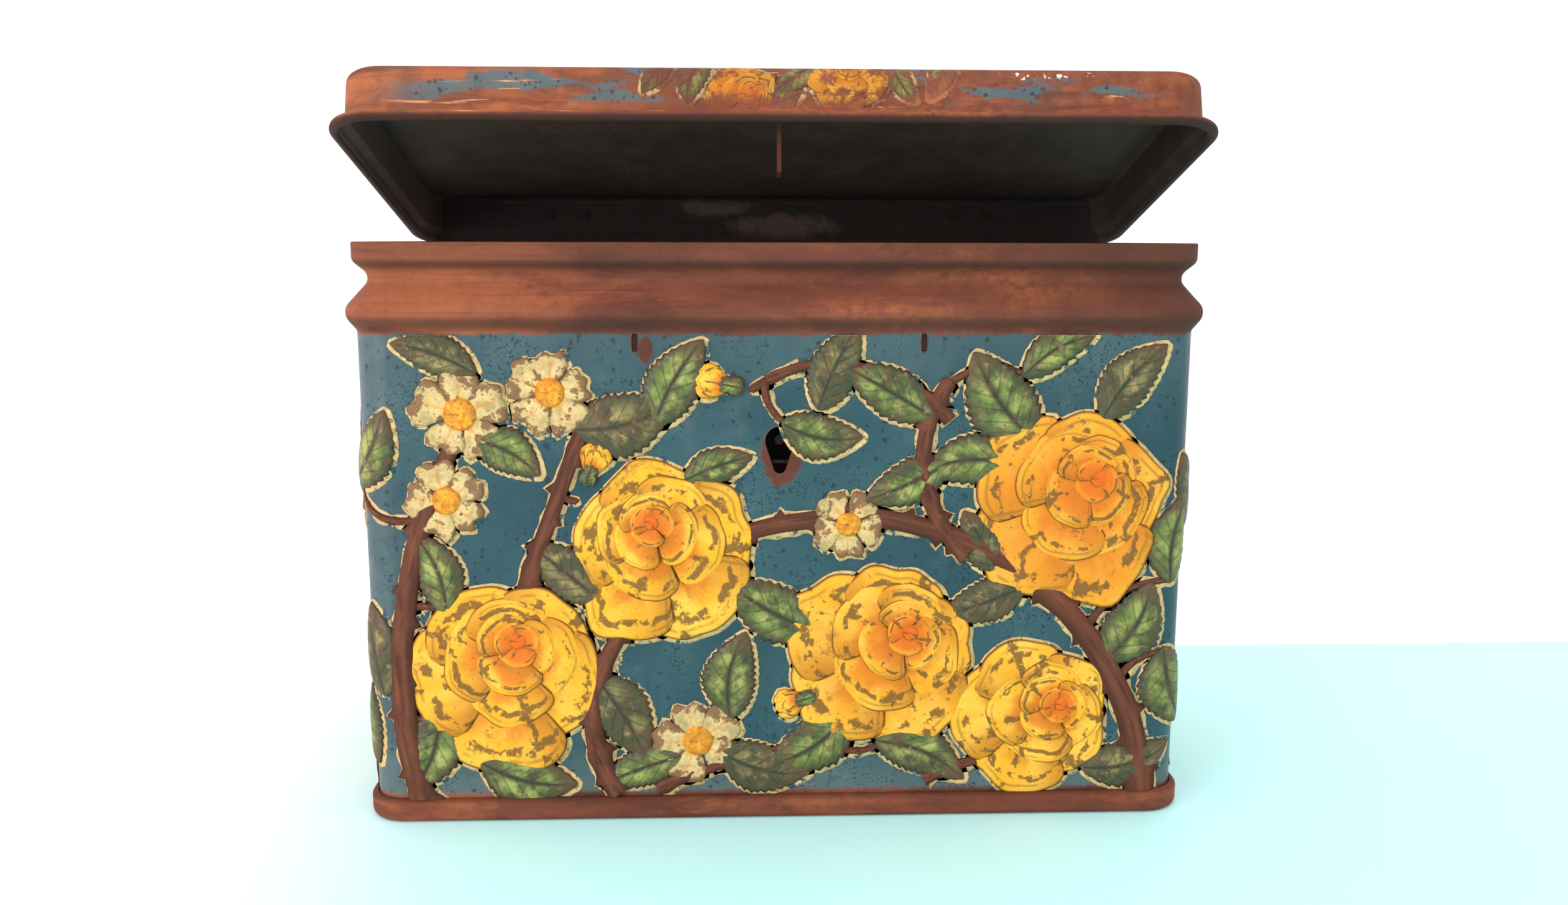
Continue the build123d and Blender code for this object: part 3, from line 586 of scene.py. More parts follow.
def finishPaint(shader, point, colour, worn):
    # on the lid, rust eats into the paint, most of all low on the skirt
    if worn:
        z = splitPoint(point)[2]
        eaten = cloud(point, 6.5, 6, 0.68)
        low = between(z + eaten * 9.0, size["lidTop"] / mm - 0.8, size["lidTop"] / mm - 3.6)
        gone = most(most(between(eaten, 0.46, 0.56), low) * 0.93, 0.34)
        colour = mixed(gone, colour, rust(point, 0.1)[0])
    feed(shader, {"Base Color": colour})


petalColours = {
    "deep": (0.58, 0.215, 0.018),
    "bright": (0.82, 0.375, 0.024),
    "pale": (0.92, 0.5, 0.07),
    "orange": (0.66, 0.165, 0.014),
    "red": (0.7, 0.105, 0.01),
    "warm": (0.64, 0.165, 0.015),
    "shade": (0.3, 0.09, 0.014),
    "worn": (0.15, 0.074, 0.022),
    "line": (0.075, 0.03, 0.012),
}


def petalFinish(name, point=bodyPoint, worn=False):
    finish, shader = startFinish(name, 0.5, 0.12)
    point = point()
    span = readSpan()
    tone, ring, warmth, along, across = span
    edge = far(across)
    fine = cloud(point, 0.9, 5, 0.65)
    broad = cloud(point, 7, 4, 0.6)
    heart = between(ring, 0.8, 0.98)

    # painted shade and highlight: the colour runs from darker at the root to brighter at the lip
    outward = along + (broad - 0.5) * 0.7
    colour = mixed(between(outward, 0.4, 0.8), petalColours["deep"], petalColours["bright"])
    # painted highlight in pale strokes, away from the petal's edges
    glow = strokes(span, 1.2, 1.5, 0.42, 0.62) * between(edge, 0.95, 0.45)
    # painted shade at the root of each petal, where the next ring lies over it
    root = between(outward - ring * 0.35, 0.6, 0.3)
    # painted shade on one side of the petal and towards its root
    turned = between(across, 0.15, 0.95) * between(along, 0.2, 0.7)
    below = between(along, 0.5 + broad * 0.2, 0.16)
    warm = warmth * between(outward, 1.4, 0.45) * 0.95

    # the paint has gone from the ridges in short broken strokes
    sway = (cloud(point, 5, 3) - 0.5) * 0.9
    foldSpot = worked("MULTIPLY_ADD", tone, 1.3, -0.65) + sway
    fold = between(far(across - foldSpot), 0.12, 0.06)
    lipSpot = 0.8 + sway * 0.35
    lip = between(far(along - lipSpot), 0.06, 0.03)
    broken = between(cloud(point, 4.2, 3, 0.6), 0.47, 0.52)
    scuffs = strokes(span, 4.8, 1.3, 0.62, 0.68) * between(fine, 0.46, 0.58)
    gone = most(most(fold, lip) * broken * between(fine, 0.3, 0.44), scuffs * 0.6)
    hatch = strokes(span, 2.0, 12.0, 0.54, 0.68) * between(outward, 0.8, 0.35)
    seam = between(far(edge, 0.88), 0.045, 0.012)
    inner = between(far(along, 0.9), 0.026, 0.008)
    line = most(inner, seam) * between(broad, 0.42, 0.54) * between(edge, 1.0, 0.97)
    border = most(between(along, 0.968, 0.998), between(edge, 0.955, 0.998))
    colour = layered(colour, petalColours, [
        (glow * 0.75, "pale"),
        (root * 0.8, "orange"),
        (turned * 0.55, "shade"),
        (below * (1.0 - heart) * 0.6, "shade"),
        (warm, "warm"),
        (heart * 0.8, "red"),
        (gone * 0.88, "worn"),
        (hatch * 0.2, "worn"),
        (line * 0.45, "worn"),
        (border * 0.85, "line"),
        (specks(point, 1.2, 0.3) * 0.6, "worn"),
    ])
    finishPaint(shader, point, colour, worn)
    normal = roughen(shader, broad, 0.25, 0.4)
    roughen(shader, fine - gone * 0.7, 0.12, 0.5, normal)
    return finish


blossomColours = {
    "cream": (0.72, 0.51, 0.23),
    "shade": (0.4, 0.29, 0.12),
    "yellow": (0.72, 0.36, 0.035),
    "orange": (0.62, 0.19, 0.018),
    "rust": (0.15, 0.064, 0.03),
}


def blossomFinish(name, point=bodyPoint, worn=False):
    finish, shader = startFinish(name, 0.55, 0.15)
    point = point()
    span = readSpan()
    tone, ring, warmth, along, across = span
    edge = far(across)
    fine = cloud(point, 1.0, 5, 0.7)
    broad = cloud(point, 3.6, 5, 0.65)
    colour = mixed(between(broad, 0.34, 0.6), blossomColours["shade"], blossomColours["cream"])
    root = between(along + fine * 0.3, 0.62, 0.3)
    colour = mixed(root * 0.8, colour, blossomColours["yellow"])
    heart = between(ring, 0.5, 0.9)
    gold = mixed(between(fine, 0.4, 0.62), blossomColours["orange"], blossomColours["yellow"])
    colour = mixed(heart, colour, gold)
    damage = most(along, edge) * 0.26 + broad
    torn = between(damage, 0.69, 0.76) * (1.0 - heart * 0.7)
    fold = between(edge + broad * 0.3, 0.3, 0.14)
    fold = fold * between(along, 0.95, 0.6) * (1.0 - heart) * 0.5
    colour = layered(colour, blossomColours, [
        (torn * 0.88, "rust"),
        (fold, "orange"),
        (specks(point, 1.2, 0.36) * 0.7, "rust"),
    ])
    finishPaint(shader, point, colour, worn)
    roughen(shader, fine - torn * 0.7, 0.2, 0.8)
    return finish


leafColours = {
    "dark": (0.06, 0.06, 0.028),
    "green": (0.15, 0.205, 0.045),
    "light": (0.34, 0.345, 0.095),
    "olive": (0.2, 0.165, 0.066),
    "gold": (0.42, 0.3, 0.09),
    "brown": (0.108, 0.062, 0.03),
    "line": (0.034, 0.024, 0.014),
    "scuff": (0.38, 0.2, 0.11),
}


def leafFinish(name, point=bodyPoint, worn=False):
    finish, shader = startFinish(name, 0.48, 0.18)
    point = point()
    span = readSpan()
    tone, ring, warmth, along, across = span
    edge = far(across)
    fine = cloud(point, 1.0, 5, 0.65)
    broad = cloud(point, 4.5, 4, 0.6)
    middle = worked("SINE", along * math.pi)
    core = between(edge, 0.92, 0.4) * between(edge, 0.02, 0.22) * middle
    lean = broad + across * 0.07 - far(tone, 0.3) * 0.22
    lit = core * between(lean, 0.3, 0.5)
    fresh = mixed(between(broad, 0.46, 0.64), leafColours["green"], leafColours["light"])
    aged = mixed(between(broad, 0.42, 0.6), leafColours["brown"], leafColours["olive"])
    golden = between(cloud(point, 2.6, 4, 0.6), 0.52, 0.64)
    aged = mixed(golden * 0.7, aged, leafColours["gold"])
    bright = mixed(between(tone, 0.45, 0.6), fresh, aged)
    colour = mixed(lit, leafColours["dark"], bright)
    veinPlace = worked("FRACT", worked("MULTIPLY_ADD", edge, -1.7, along * 6.5))
    vein = between(far(veinPlace, 0.5), 0.13, 0.02)
    vein = vein * between(edge, 0.92, 0.6) * between(along, 0.05, 0.2)
    rib = between(edge, 0.085, 0.02)
    tip = between(along + fine * 0.3, 0.86, 1.05) * 0.8
    border = between(edge, 0.82, 0.98) * between(broad, 0.3, 0.5)
    stains = between(cloud(point, 3.4, 5, 0.7), 0.52, 0.62)
    scuffs = between(cloud(point, 2.2, 5, 0.7), 0.6, 0.68)
    colour = layered(colour, leafColours, [
        (vein * 0.45, "line"),
        (rib * 0.7, "line"),
        (tip, "brown"),
        (border * 0.8, "line"),
        (stains * 0.7, "brown"),
        (specks(point, 1.5, 0.36) * 0.6, "brown"),
        (scuffs * 0.55, "scuff"),
    ])
    finishPaint(shader, point, colour, worn)
    feed(shader, {"Coat Weight": 0.1})
    normal = roughen(shader, 1.0 - most(vein, rib), 0.16, 0.7)
    roughen(shader, fine, 0.12, 0.6, normal)
    return finish


stemColours = {
    "light": (0.176, 0.056, 0.03),
    "dark": (0.062, 0.021, 0.013),
    "worn": (0.36, 0.17, 0.09),
}


def stemFinish(name, point=bodyPoint, worn=False):
    finish, shader = startFinish(name, 0.6, 0.12)
    point = point()
    span = readSpan()
    bark = strokes(span, 9.0, 1.6, 0.26, 0.72)
    fine = cloud(point, 1.0, 5, 0.65)
    colour = mixed(bark, stemColours["dark"], stemColours["light"])
    # painted shade: darker towards the stem's edges, most on one side
    sides = between(far(span[-1], 0.2), 0.25, 0.95)
    scuffs = between(cloud(point, 2.0, 5, 0.7), 0.66, 0.72)
    colour = layered(colour, stemColours, [
        (sides * 0.75, "dark"),
        (scuffs * 0.5, "worn"),
    ])
    finishPaint(shader, point, colour, worn)
    roughen(shader, fine + bark * 0.3, 0.14, 0.6)
    return finish


outlineColours = {
    "cream": (0.68, 0.47, 0.21),
    "tan": (0.46, 0.29, 0.13),
}


def outlineFinish(name, point=bodyPoint, worn=False):
    # a thin cream line that has flaked away in places
    finish, shader = startFinish(name, 0.55, 0.15)
    point = point()
    fine = cloud(point, 0.9, 5, 0.7)
    colour = mixed(between(fine, 0.35, 0.6), outlineColours["tan"], outlineColours["cream"])
    flakes = between(cloud(point, 4.2, 5, 0.7), 0.55, 0.6)
    flaked = most(flakes, between(cloud(point, 1.5, 4, 0.7), 0.6, 0.65))
    colour = mixed(flaked, colour, rustColours["brown"] if worn else printColours["blue"])
    finishPaint(shader, point, colour, worn)
    roughen(shader, fine, 0.1, 0.7)
    return finish


def wallPlace(along, up, out):
    # along runs from the middle of the front to the right, all the way round
    run = (along + flatWidth / 2) % lap
    startX, startY = -flatWidth / 2, -flatDepth / 2
    facing = -math.pi / 2
    for length in (flatWidth, flatDepth, flatWidth, flatDepth):
        ahead = (math.cos(facing + math.pi / 2), math.sin(facing + math.pi / 2))
        reach = size["corner"] + out
        if run <= length:
            x = startX + ahead[0] * run + math.cos(facing) * reach
            return Vector((x, startY + ahead[1] * run + math.sin(facing) * reach, up))
        run -= length
        startX += ahead[0] * length
        startY += ahead[1] * length
        if run <= cornerRun:
            angle = facing + run / size["corner"]
            return Vector((startX + math.cos(angle) * reach, startY + math.sin(angle) * reach, up))
        run -= cornerRun
        facing += math.pi / 2
    return Vector((startX, startY, up))


def foldOver(run, edge):
    # place, drop and outward direction of a run that passes over the lid's folded edge
    side = math.copysign(1, run)
    run = abs(run) - (edge - size["foldRound"])
    if run <= 0:
        return side * (run + edge - size["foldRound"]), 0.0, (0.0, 1.0)
    turn = min(run / size["foldRound"], math.pi / 2)
    past = max(run - size["foldRound"] * math.pi / 2, 0)
    flat = side * (edge - size["foldRound"] + size["foldRound"] * math.sin(turn))
    drop = size["foldRound"] * (1 - math.cos(turn)) + past
    return flat, drop, (side * math.sin(turn), math.cos(turn))


opening = (Matrix.Translation(hinge["place"]) @ Matrix.Rotation(-hinge["open"], 4, "X")
           @ Matrix.Translation(-hinge["place"]))
ceiling = cadBounds[1][2] - 0.03 * mm  # nothing on the lid stands above this
crestDip = 0.08 * mm


def lidPlace(across, along, out):
    # a drawing on the lid's top that runs over its edges and down its skirt, on the opened lid
    x, dropX, leanX = foldOver(across, size["halfWidth"] + size["lidOut"])
    y, dropY, leanY = foldOver(along, size["halfDepth"] + size["lidOut"])
    surface = opening @ Vector((x, y, size["lidTop"] - dropX - dropY))
    outward = opening.to_3x3() @ Vector((leanX[0], leanY[0], min(leanX[1], leanY[1])))
    if outward.z > 0.01:
        # near the ceiling the layers are pressed together in order, and dip into the bare crest
        room = (ceiling - surface.z) / outward.z
        out = out * room / math.hypot(out, room) if min(out, room) > 0 else min(out, room)
        out -= max(crestDip - room, 0)
    return surface + outward * out


relief = {
    "top": 2.05,  # millimetres, the highest point of a bloom
    "sunk": -0.2,  # edges end inside the wall
    "outline": 0.14,
    "outlineWidth": 0.66,
    "outlineShift": (0.26, -0.22),
}


def newDrawing():
    drawing = bmesh.new()
    drawing.verts.layers.float_color.new("tint")
    drawing.verts.layers.float_color.new("span")
    return drawing


def addSheet(drawing, steps, form, tone, ring, spot, turn, warmth=0.0):
    # a grid, in millimetres, whose outer ring of faces is turned down into the wall
    made = bmesh.ops.create_grid(drawing, x_segments=steps[0], y_segments=steps[1], size=0.5)["verts"]
    tint = drawing.verts.layers.float_color["tint"]
    span = drawing.verts.layers.float_color["span"]
    cos, sin = math.cos(turn), math.sin(turn)
    for vert in made:
        rim = abs(vert.co.x) > 0.4999 or abs(vert.co.y) > 0.4999
        along = min(max((vert.co.x + 0.5 - 1 / steps[0]) / (1 - 2 / steps[0]), 0), 1)
        across = min(max(vert.co.y / (0.5 - 1 / steps[1]), -1), 1)
        x, y, out = form(along, across)
        vert[tint] = (tone, ring, warmth, 1)
        vert[span] = (along, across / 2 + 0.5, 0, 1)
        vert.co = (spot[0] + x * cos - y * sin, spot[1] + x * sin + y * cos, relief["sunk"] if rim else out)
    return made


def smooth(value, low, high):
    share = min(max((value - low) / (high - low), 0), 1)
    return share * share * (3 - 2 * share)


def leafShape(length, width, teeth, curve, level, grow=0.0):
    def form(along, across):
        swell = max(math.sin(math.pi * along ** 0.82), 0) ** 0.8
        tooth = (along * teeth) % 1.0
        bite = 0.07 if grow else 0.18
        half = width / 2 * swell * (1 + (tooth - 0.3) * bite * smooth(abs(across), 0.4, 1)) + grow
        x = -length / 2 - grow + (length + 2 * grow) * along
        y = across * half + curve * math.sin(math.pi * along)
        if grow:
            return x, y, relief["outline"]
        dome = (1 - abs(across) ** 2.4) * swell ** 0.5
        ripple = 0.5 + 0.5 * math.cos(2 * math.pi * (along * 6.5 - abs(across) * 1.7))
        groove = math.exp(-((across / 0.14) ** 2))
        out = level + 0.8 * dome - 0.22 * groove * swell + 0.12 * ripple * dome * abs(across)
        return x, y, out
    return form


def petalShape(petal, grow=0.0):
    def form(along, across):
        fan = math.radians(petal["fan"]) + grow / petal["reach"]
        scallop = petal["side"] + (1 - petal["side"]) * math.sqrt(max(1 - across * across, 0))
        scallop += (petal["point"] - petal["notch"]) * math.exp(-((across / 0.22) ** 2))
        ragged = petal["ragged"] * noise.noise(Vector((across * 3.1, petal["tone"] * 40, 1.7)))
        reach = petal["reach"] * (scallop + ragged) + grow
        radius = petal["root"] + (reach - petal["root"]) * along
        angle = across * fan
        x = radius * math.cos(angle)
        y = radius * math.sin(angle)
        if grow:
            return x, y, relief["outline"]
        lip = math.exp(-(((along - 0.86) / 0.1) ** 2))
        cup = petal["cup"] * math.sin(math.pi * min(along * 1.05, 1)) * (1 - across * across)
        wave = petal["wave"] * math.sin(across * 5 + petal["tone"] * 20) * along
        over = petal["tilt"] * across * along
        fall = petal["fall"] * (smooth(along, 0.92, 1.0) + 0.4 * smooth(abs(across), 0.86, 1.0) * along)
        out = petal["level"] + petal["lift"] * along + cup + 0.14 * lip + wave + over - fall
        return x, y, min(out, relief["top"])
    return form


def discShape(radius, level, bulge, bumps):
    def form(along, across):
        angle = across * math.pi
        reach = radius * (0.02 + 0.98 * along)
        reach *= 1 + 0.07 * noise.noise(Vector((math.cos(angle) * 2, math.sin(angle) * 2, radius)))
        x, y = reach * math.cos(angle), reach * math.sin(angle)
        knob = bumps * noise.noise(Vector((x * 1.6, y * 1.6, 3.3)))
        return x, y, level + bulge * math.cos(along * math.pi / 2) ** 0.7 + knob
    return form


def ahead(turn):
    return Vector((math.cos(turn), math.sin(turn)))


def arcPath(points):
    # centre, radius, start angle and sweep of the circle through three points
    start, middle, end = (Vector(point) for point in points)
    one, two = middle - start, end - start
    crossing = 2 * (one.x * two.y - one.y * two.x)
    reach = Vector((two.y * one.dot(one) - one.y * two.dot(two), one.x * two.dot(two) - two.x * one.dot(one)))
    centre = start + reach / crossing
    first, second, third = ((point - centre) for point in (start, middle, end))
    sweep = -first.angle_signed(second) - second.angle_signed(third)
    return centre, first.length, math.atan2(first.y, first.x), sweep


def arcSpot(path, share):
    centre, radius, begin, sweep = path
    angle = begin + sweep * share
    return centre + ahead(angle) * radius


thickStems = {
    "from": 3.3,  # millimetres; wider stems stand on the wall's own raised work
    "level": 0.58,
    "leastHalf": 1.55,
    "sway": 0.45,  # share of the sway that thinner stems have
    "spursApart": 6.5,
    "spurLength": 1.5,
    "spurBase": 0.32,  # share of the distance between spurs
}


def stemShape(path, stem, grow=0.0):
    # starts a little before the arc's first point, by the share early, and may run past its last, by late
    def form(along, across):
        share = along * (1 + stem["early"] + stem["late"]) - stem["early"]
        spot = arcSpot(path, share)
        aside = (spot - path[0]).normalized()
        sway = noise.noise(Vector((spot.x * 0.08, spot.y * 0.08, 9.1))) * 0.7
        knot = 1 + 0.25 * max(math.sin(along * 17 + path[1]), 0) ** 8
        half = stem["width"] / 2 * (1 - stem["taper"] * along) * knot
        level = 0.28
        if stem["width"] > thickStems["from"]:
            sway *= thickStems["sway"]
            half = max(half, thickStems["leastHalf"])
            level = thickStems["level"]
            turns = share * abs(path[1] * path[3]) / thickStems["spursApart"] + path[1] % 1
            if int(turns) % 2 == (across > 0):
                spur = max(1 - (turns % 1) / thickStems["spurBase"], 0)
                half += thickStems["spurLength"] * spur * abs(across) ** 3
        half *= math.sqrt(1 - 0.97 * smooth(along, 0.97, 1.0) ** 2)
        if grow:
            half += grow * (1 + 1.1 * noise.noise(Vector((spot.x * 0.35, spot.y * 0.35, across * 4))))
        spot = spot + aside * (across * half + sway)
        if grow:
            return spot.x, spot.y, relief["outline"]
        crown = math.sqrt(max(1 - 0.92 * across * across, 0))
        bark = 0.08 * noise.noise(Vector((along * 30, across * 2.2, path[2])))
        hidden = [smooth((spot - centre).length, wide * 0.96, wide * 0.8) for centre, wide in stem["covers"]]
        fade = (1 - 0.72 * smooth(share, 0.6, 0.85)) * (1 - max(hidden, default=0))
        return spot.x, spot.y, level + fade * (min(0.22 * stem["width"], 0.64) * crown + bark)
    return form


petalRings = [
    # ring, petals, reach, fan, level, lift
    (0.0, 5, 1.0, 47, 0.48, 0.44),
    (0.38, 4, 0.7, 56, 0.86, 0.44),
    (0.66, 3, 0.45, 66, 1.24, 0.36),
    (0.88, 3, 0.24, 74, 1.58, 0.24),
]

bloom = {
    "lean": 0.34,  # how far its heart sits off its middle, as a share of its radius
    "squeeze": 0.1,
    "spiral": 2.1,  # radians from ring 0 to ring 1
    "broadBelow": 0.6,  # rings below this have finer meshes
    "side": 0.76,
    "ragged": 0.04,
    "cup": 0.4,
    "wave": 0.09,
    "tilt": 0.28,
    "fall": 0.3,
}

blossom = {
    "fan": 38,
    "side": 0.66,
    "point": 0.0,
    "notch": 0.12,
    "ragged": 0.15,
    "level": 0.58,
    "lift": 0.18,
    "cup": 0.26,
    "wave": 0.1,
    "tilt": 0.1,
    "fall": 0.24,
}

bud = {
    "fan": 20,
    "side": 0.72,
    "point": 0.06,
    "notch": 0.0,
    "ragged": 0.03,
    "lift": 0.1,
    "cup": 0.45,
    "wave": 0.03,
    "tilt": 0.1,
    "fall": 0.3,
}


def addOutline(work, steps, form, tone, spot, turn):
    # the cream edge under a piece, a little to its lower right
    shift = relief["outlineShift"]
    addSheet(work["outlines"], steps, form, tone, 0, (spot[0] + shift[0], spot[1] + shift[1]), turn)


def addPetal(work, kind, petal, steps, spot, turn, ring=0, warmth=0.0, rimSteps=None, rimShare=1.0):
    addSheet(work[kind], steps, petalShape(petal), petal["tone"], ring, spot, turn, warmth)
    if rimSteps:
        form = petalShape(petal, relief["outlineWidth"] * rimShare)
        addOutline(work, rimSteps, form, petal["tone"], spot, turn)


def addBloom(work, spot, across, warmth, turn, lean, rng):
    # rings of broad petals, each ring smaller and higher than the one below
    radius = across / 2
    shift = ahead(lean) * radius * bloom["lean"]
    for ring, count, reach, fan, level, lift in petalRings:
        for number in range(count):
            tone = rng.random()
            facing = turn + 2 * math.pi * (number + rng.uniform(-0.12, 0.12)) / count + ring * bloom["spiral"]
            squeeze = 1 - bloom["squeeze"] * math.cos(facing - lean) * (1 - ring)
            petal = dict(
                bloom,
                reach=radius * reach * squeeze * rng.uniform(0.94, 1.06),
                root=radius * 0.04,
                fan=fan * rng.uniform(0.94, 1.05),
                point=rng.choice((0.0, 0.06, 0.13)) * (1 - ring),
                notch=rng.choice((0.0, 0.0, 0.04)),
                level=level,
                lift=lift,
                cup=bloom["cup"] - 0.2 * ring,
                tone=tone,
            )
            centre = (spot[0] + shift.x * ring, spot[1] + shift.y * ring)
            steps = (24, 26) if ring < bloom["broadBelow"] else (13, 18)
            rimSteps = (13, 26) if ring == 0.0 else None
            addPetal(work, "blooms", petal, steps, centre, facing, ring, warmth, rimSteps)
    heart = (spot[0] + shift.x, spot[1] + shift.y)
    knob = discShape(radius * 0.085, 1.8, 0.22, 0.06)
    addSheet(work["blooms"], (6, 18), knob, rng.random(), 1.0, heart, 0)


def addBlossom(work, spot, across, turn, rng):
    radius = across / 2
    for number in range(5):
        tone = rng.random()
        facing = turn + 2 * math.pi * (number + rng.uniform(-0.08, 0.08)) / 5
        petal = dict(blossom, reach=radius * rng.uniform(0.9, 1.08), root=radius * 0.06, tone=tone)
        addPetal(work, "blossoms", petal, (13, 16), spot, facing, rimSteps=(9, 16), rimShare=0.8)
    knob = discShape(radius * 0.33, 0.95, 0.45, 0.22)
    addSheet(work["blossoms"], (8, 24), knob, rng.random(), 1.0, spot, 0)


def addBud(work, spot, length, turn, rng):
    # three closed petals in a green cup
    for ring, offset in ((0.2, -0.21), (0.2, 0.21), (0.45, 0.0)):
        level = 0.55 + ring * 0.8
        petal = dict(bud, reach=length * 0.9, root=length * 0.12, level=level, tone=rng.random())
        addPetal(work, "blooms", petal, (12, 10), spot, turn + offset, ring, rimSteps=(7, 10))
    facing = ahead(turn)
    for offset in (-0.55, 0.0, 0.55):
        centre = (spot[0] + facing.x * length * 0.22, spot[1] + facing.y * length * 0.22)
        shape = leafShape(length * 0.58, length * 0.34, 1, 0, 1.0 if offset == 0 else 0.8)
        addSheet(work["leaves"], (12, 6), shape, rng.random() * 0.6, 0, centre, turn + offset)


def addLeaf(work, spot, length, turn, rng):
    tone = rng.random()
    width = length * rng.uniform(0.44, 0.64)
    curve = length * rng.uniform(-0.1, 0.1)
    teeth = round(length * rng.uniform(0.5, 0.75))
    level = 0.42 + 0.12 * rng.random()
    shape = (length, width, teeth, curve, level)
    addSheet(work["leaves"], (teeth * 4, 16), leafShape(*shape), tone, 0, spot, turn)
    addOutline(work, (teeth * 4, 9), leafShape(*shape, relief["outlineWidth"]), tone, spot, turn)


def addStem(work, points, width, rng, early=0.04, late=0.0, taper=0.4, covers=()):
    # covers are the middles and radii of the blooms that it passes under
    tone = rng.random()
    path = arcPath(points)
    steps = max(int(abs(path[1] * path[3]) / 0.55), 8)
    stem = {"width": width, "early": early, "late": late, "taper": taper, "covers": covers}
    addSheet(work["stems"], (steps, 10), stemShape(path, stem), tone, 0, (0, 0), 0)
    addOutline(work, (steps, 4), stemShape(path, stem, relief["outlineWidth"]), tone, (0, 0), 0)


def addTwig(work, start, targets, reach, rng):
    # joins a leaf or blossom to the nearest stem or bloom, when one is near
    start = Vector(start)
    nearest = min(targets, key=lambda target: (target - start).length)
    run = nearest - start
    if not 3.0 < run.length < reach:
        return
    bow = Vector((-run.y, run.x)) * rng.choice((-0.16, 0.16))
    addStem(work, (nearest, start + run / 2 + bow, start), 1.7, rng, early=0.0, taper=0.3)


# a panel's motifs, placed by shares of the panel, with sizes in millimetres:
# blooms by place, width and warmth, and blossoms by place and width;
# leaves and buds by place, length and direction in degrees;
# stems by three points of their arc, width, and the share by which they run past the last point

frontDrawing = {
    "seed": 11,
    "blooms": [
        (0.142, 0.289, 40, 0.1), (0.347, 0.547, 38, 0.0), (0.641, 0.32, 40, 0.3), (0.884, 0.65, 40, 0.75),
        (0.845, 0.176, 34, 0.05),
    ],
    "blossoms": [
        (0.091, 0.835, 20), (0.206, 0.88, 18), (0.07, 0.655, 17), (0.391, 0.125, 19), (0.59, 0.6, 15),
    ],
    "buds": [(0.545, 0.225, 9, 200), (0.45, 0.89, 10, 170), (0.25, 0.69, 9, 70)],
    "leaves": [
        (0.3, 0.83, 21, 15), (0.37, 0.9, 20, 60), (0.045, 0.5, 19, 110), (0.29, 0.18, 21, 300),
        (0.03, 0.11, 20, 250), (0.165, 0.055, 21, 345), (0.06, 0.95, 18, 160), (0.48, 0.075, 20, 345),
        (0.315, 0.06, 19, 200), (0.49, 0.42, 22, 150), (0.54, 0.13, 22, 215), (0.69, 0.075, 21, 335),
        (0.64, 0.88, 21, 150), (0.665, 0.69, 19, 205), (0.77, 0.43, 19, 200), (0.79, 0.87, 22, 125),
        (0.745, 0.72, 19, 185), (0.96, 0.9, 20, 50), (0.965, 0.38, 20, 60), (0.97, 0.08, 20, 15),
        (1.03, 0.56, 19, 80), (-0.03, 0.33, 20, 100), (-0.035, 0.76, 19, 60), (1.035, 0.23, 19, 290),
        (0.575, 0.93, 19, 65), (0.555, 0.8, 17, 350), (0.445, 0.27, 19, 80), (0.22, 0.5, 19, 140),
        (0.86, 0.955, 17, 30), (0.42, 0.72, 15, 20), (0.765, 0.56, 15, 120), (0.15, 0.745, 15, 330),
    ],
    "stems": [
        ((0.99, 0.02), (0.88, 0.41), (0.5, 0.6), 5.4, 0.14),
        ((0.74, 0.54), (0.69, 0.69), (0.715, 0.89), 3.8, 0.0),
        ((0.02, 0.02), (0.01, 0.41), (0.09, 0.8), 5.2, 0.0),
        ((0.28, 0.02), (0.255, 0.22), (0.32, 0.41), 4.6, 0.14),
        ((0.1, 0.2), (0.19, 0.56), (0.25, 0.82), 4.2, 0.03),
        ((0.345, 0.02), (0.43, 0.07), (0.56, 0.12), 2.8, 0.0),
        ((0.712, 0.83), (0.6, 0.93), (0.47, 0.895), 3.0, 0.0),
        ((0.7, 0.03), (0.745, 0.06), (0.79, 0.075), 2.8, 0.0),
    ],
}

sideDrawing = {
    "seed": 23,
    "blooms": [(0.66, 0.22, 37, 0.15), (0.32, 0.56, 40, 0.65)],
    "blossoms": [(0.72, 0.84, 22), (0.9, 0.64, 16)],
    "buds": [(0.52, 0.8, 9, 60)],
    "leaves": [
        (0.26, 0.15, 23, 205), (0.88, 0.44, 21, 70), (0.66, 0.6, 21, 40), (0.2, 0.84, 22, 130),
        (0.45, 0.88, 20, 60), (0.1, 0.34, 20, 240), (0.95, 0.75, 19, 80), (1.0, 0.16, 20, 300),
        (0.4, 0.04, 19, 190), (-0.04, 0.66, 18, 110),
    ],
    "stems": [
        ((0.06, 0.02), (0.2, 0.36), (0.5, 0.52), 5.0, 0.0),
        ((0.95, 0.02), (0.92, 0.46), (0.76, 0.76), 4.4, 0.0),
        ((0.5, 0.52), (0.5, 0.7), (0.45, 0.84), 3.4, 0.0),
    ],
}

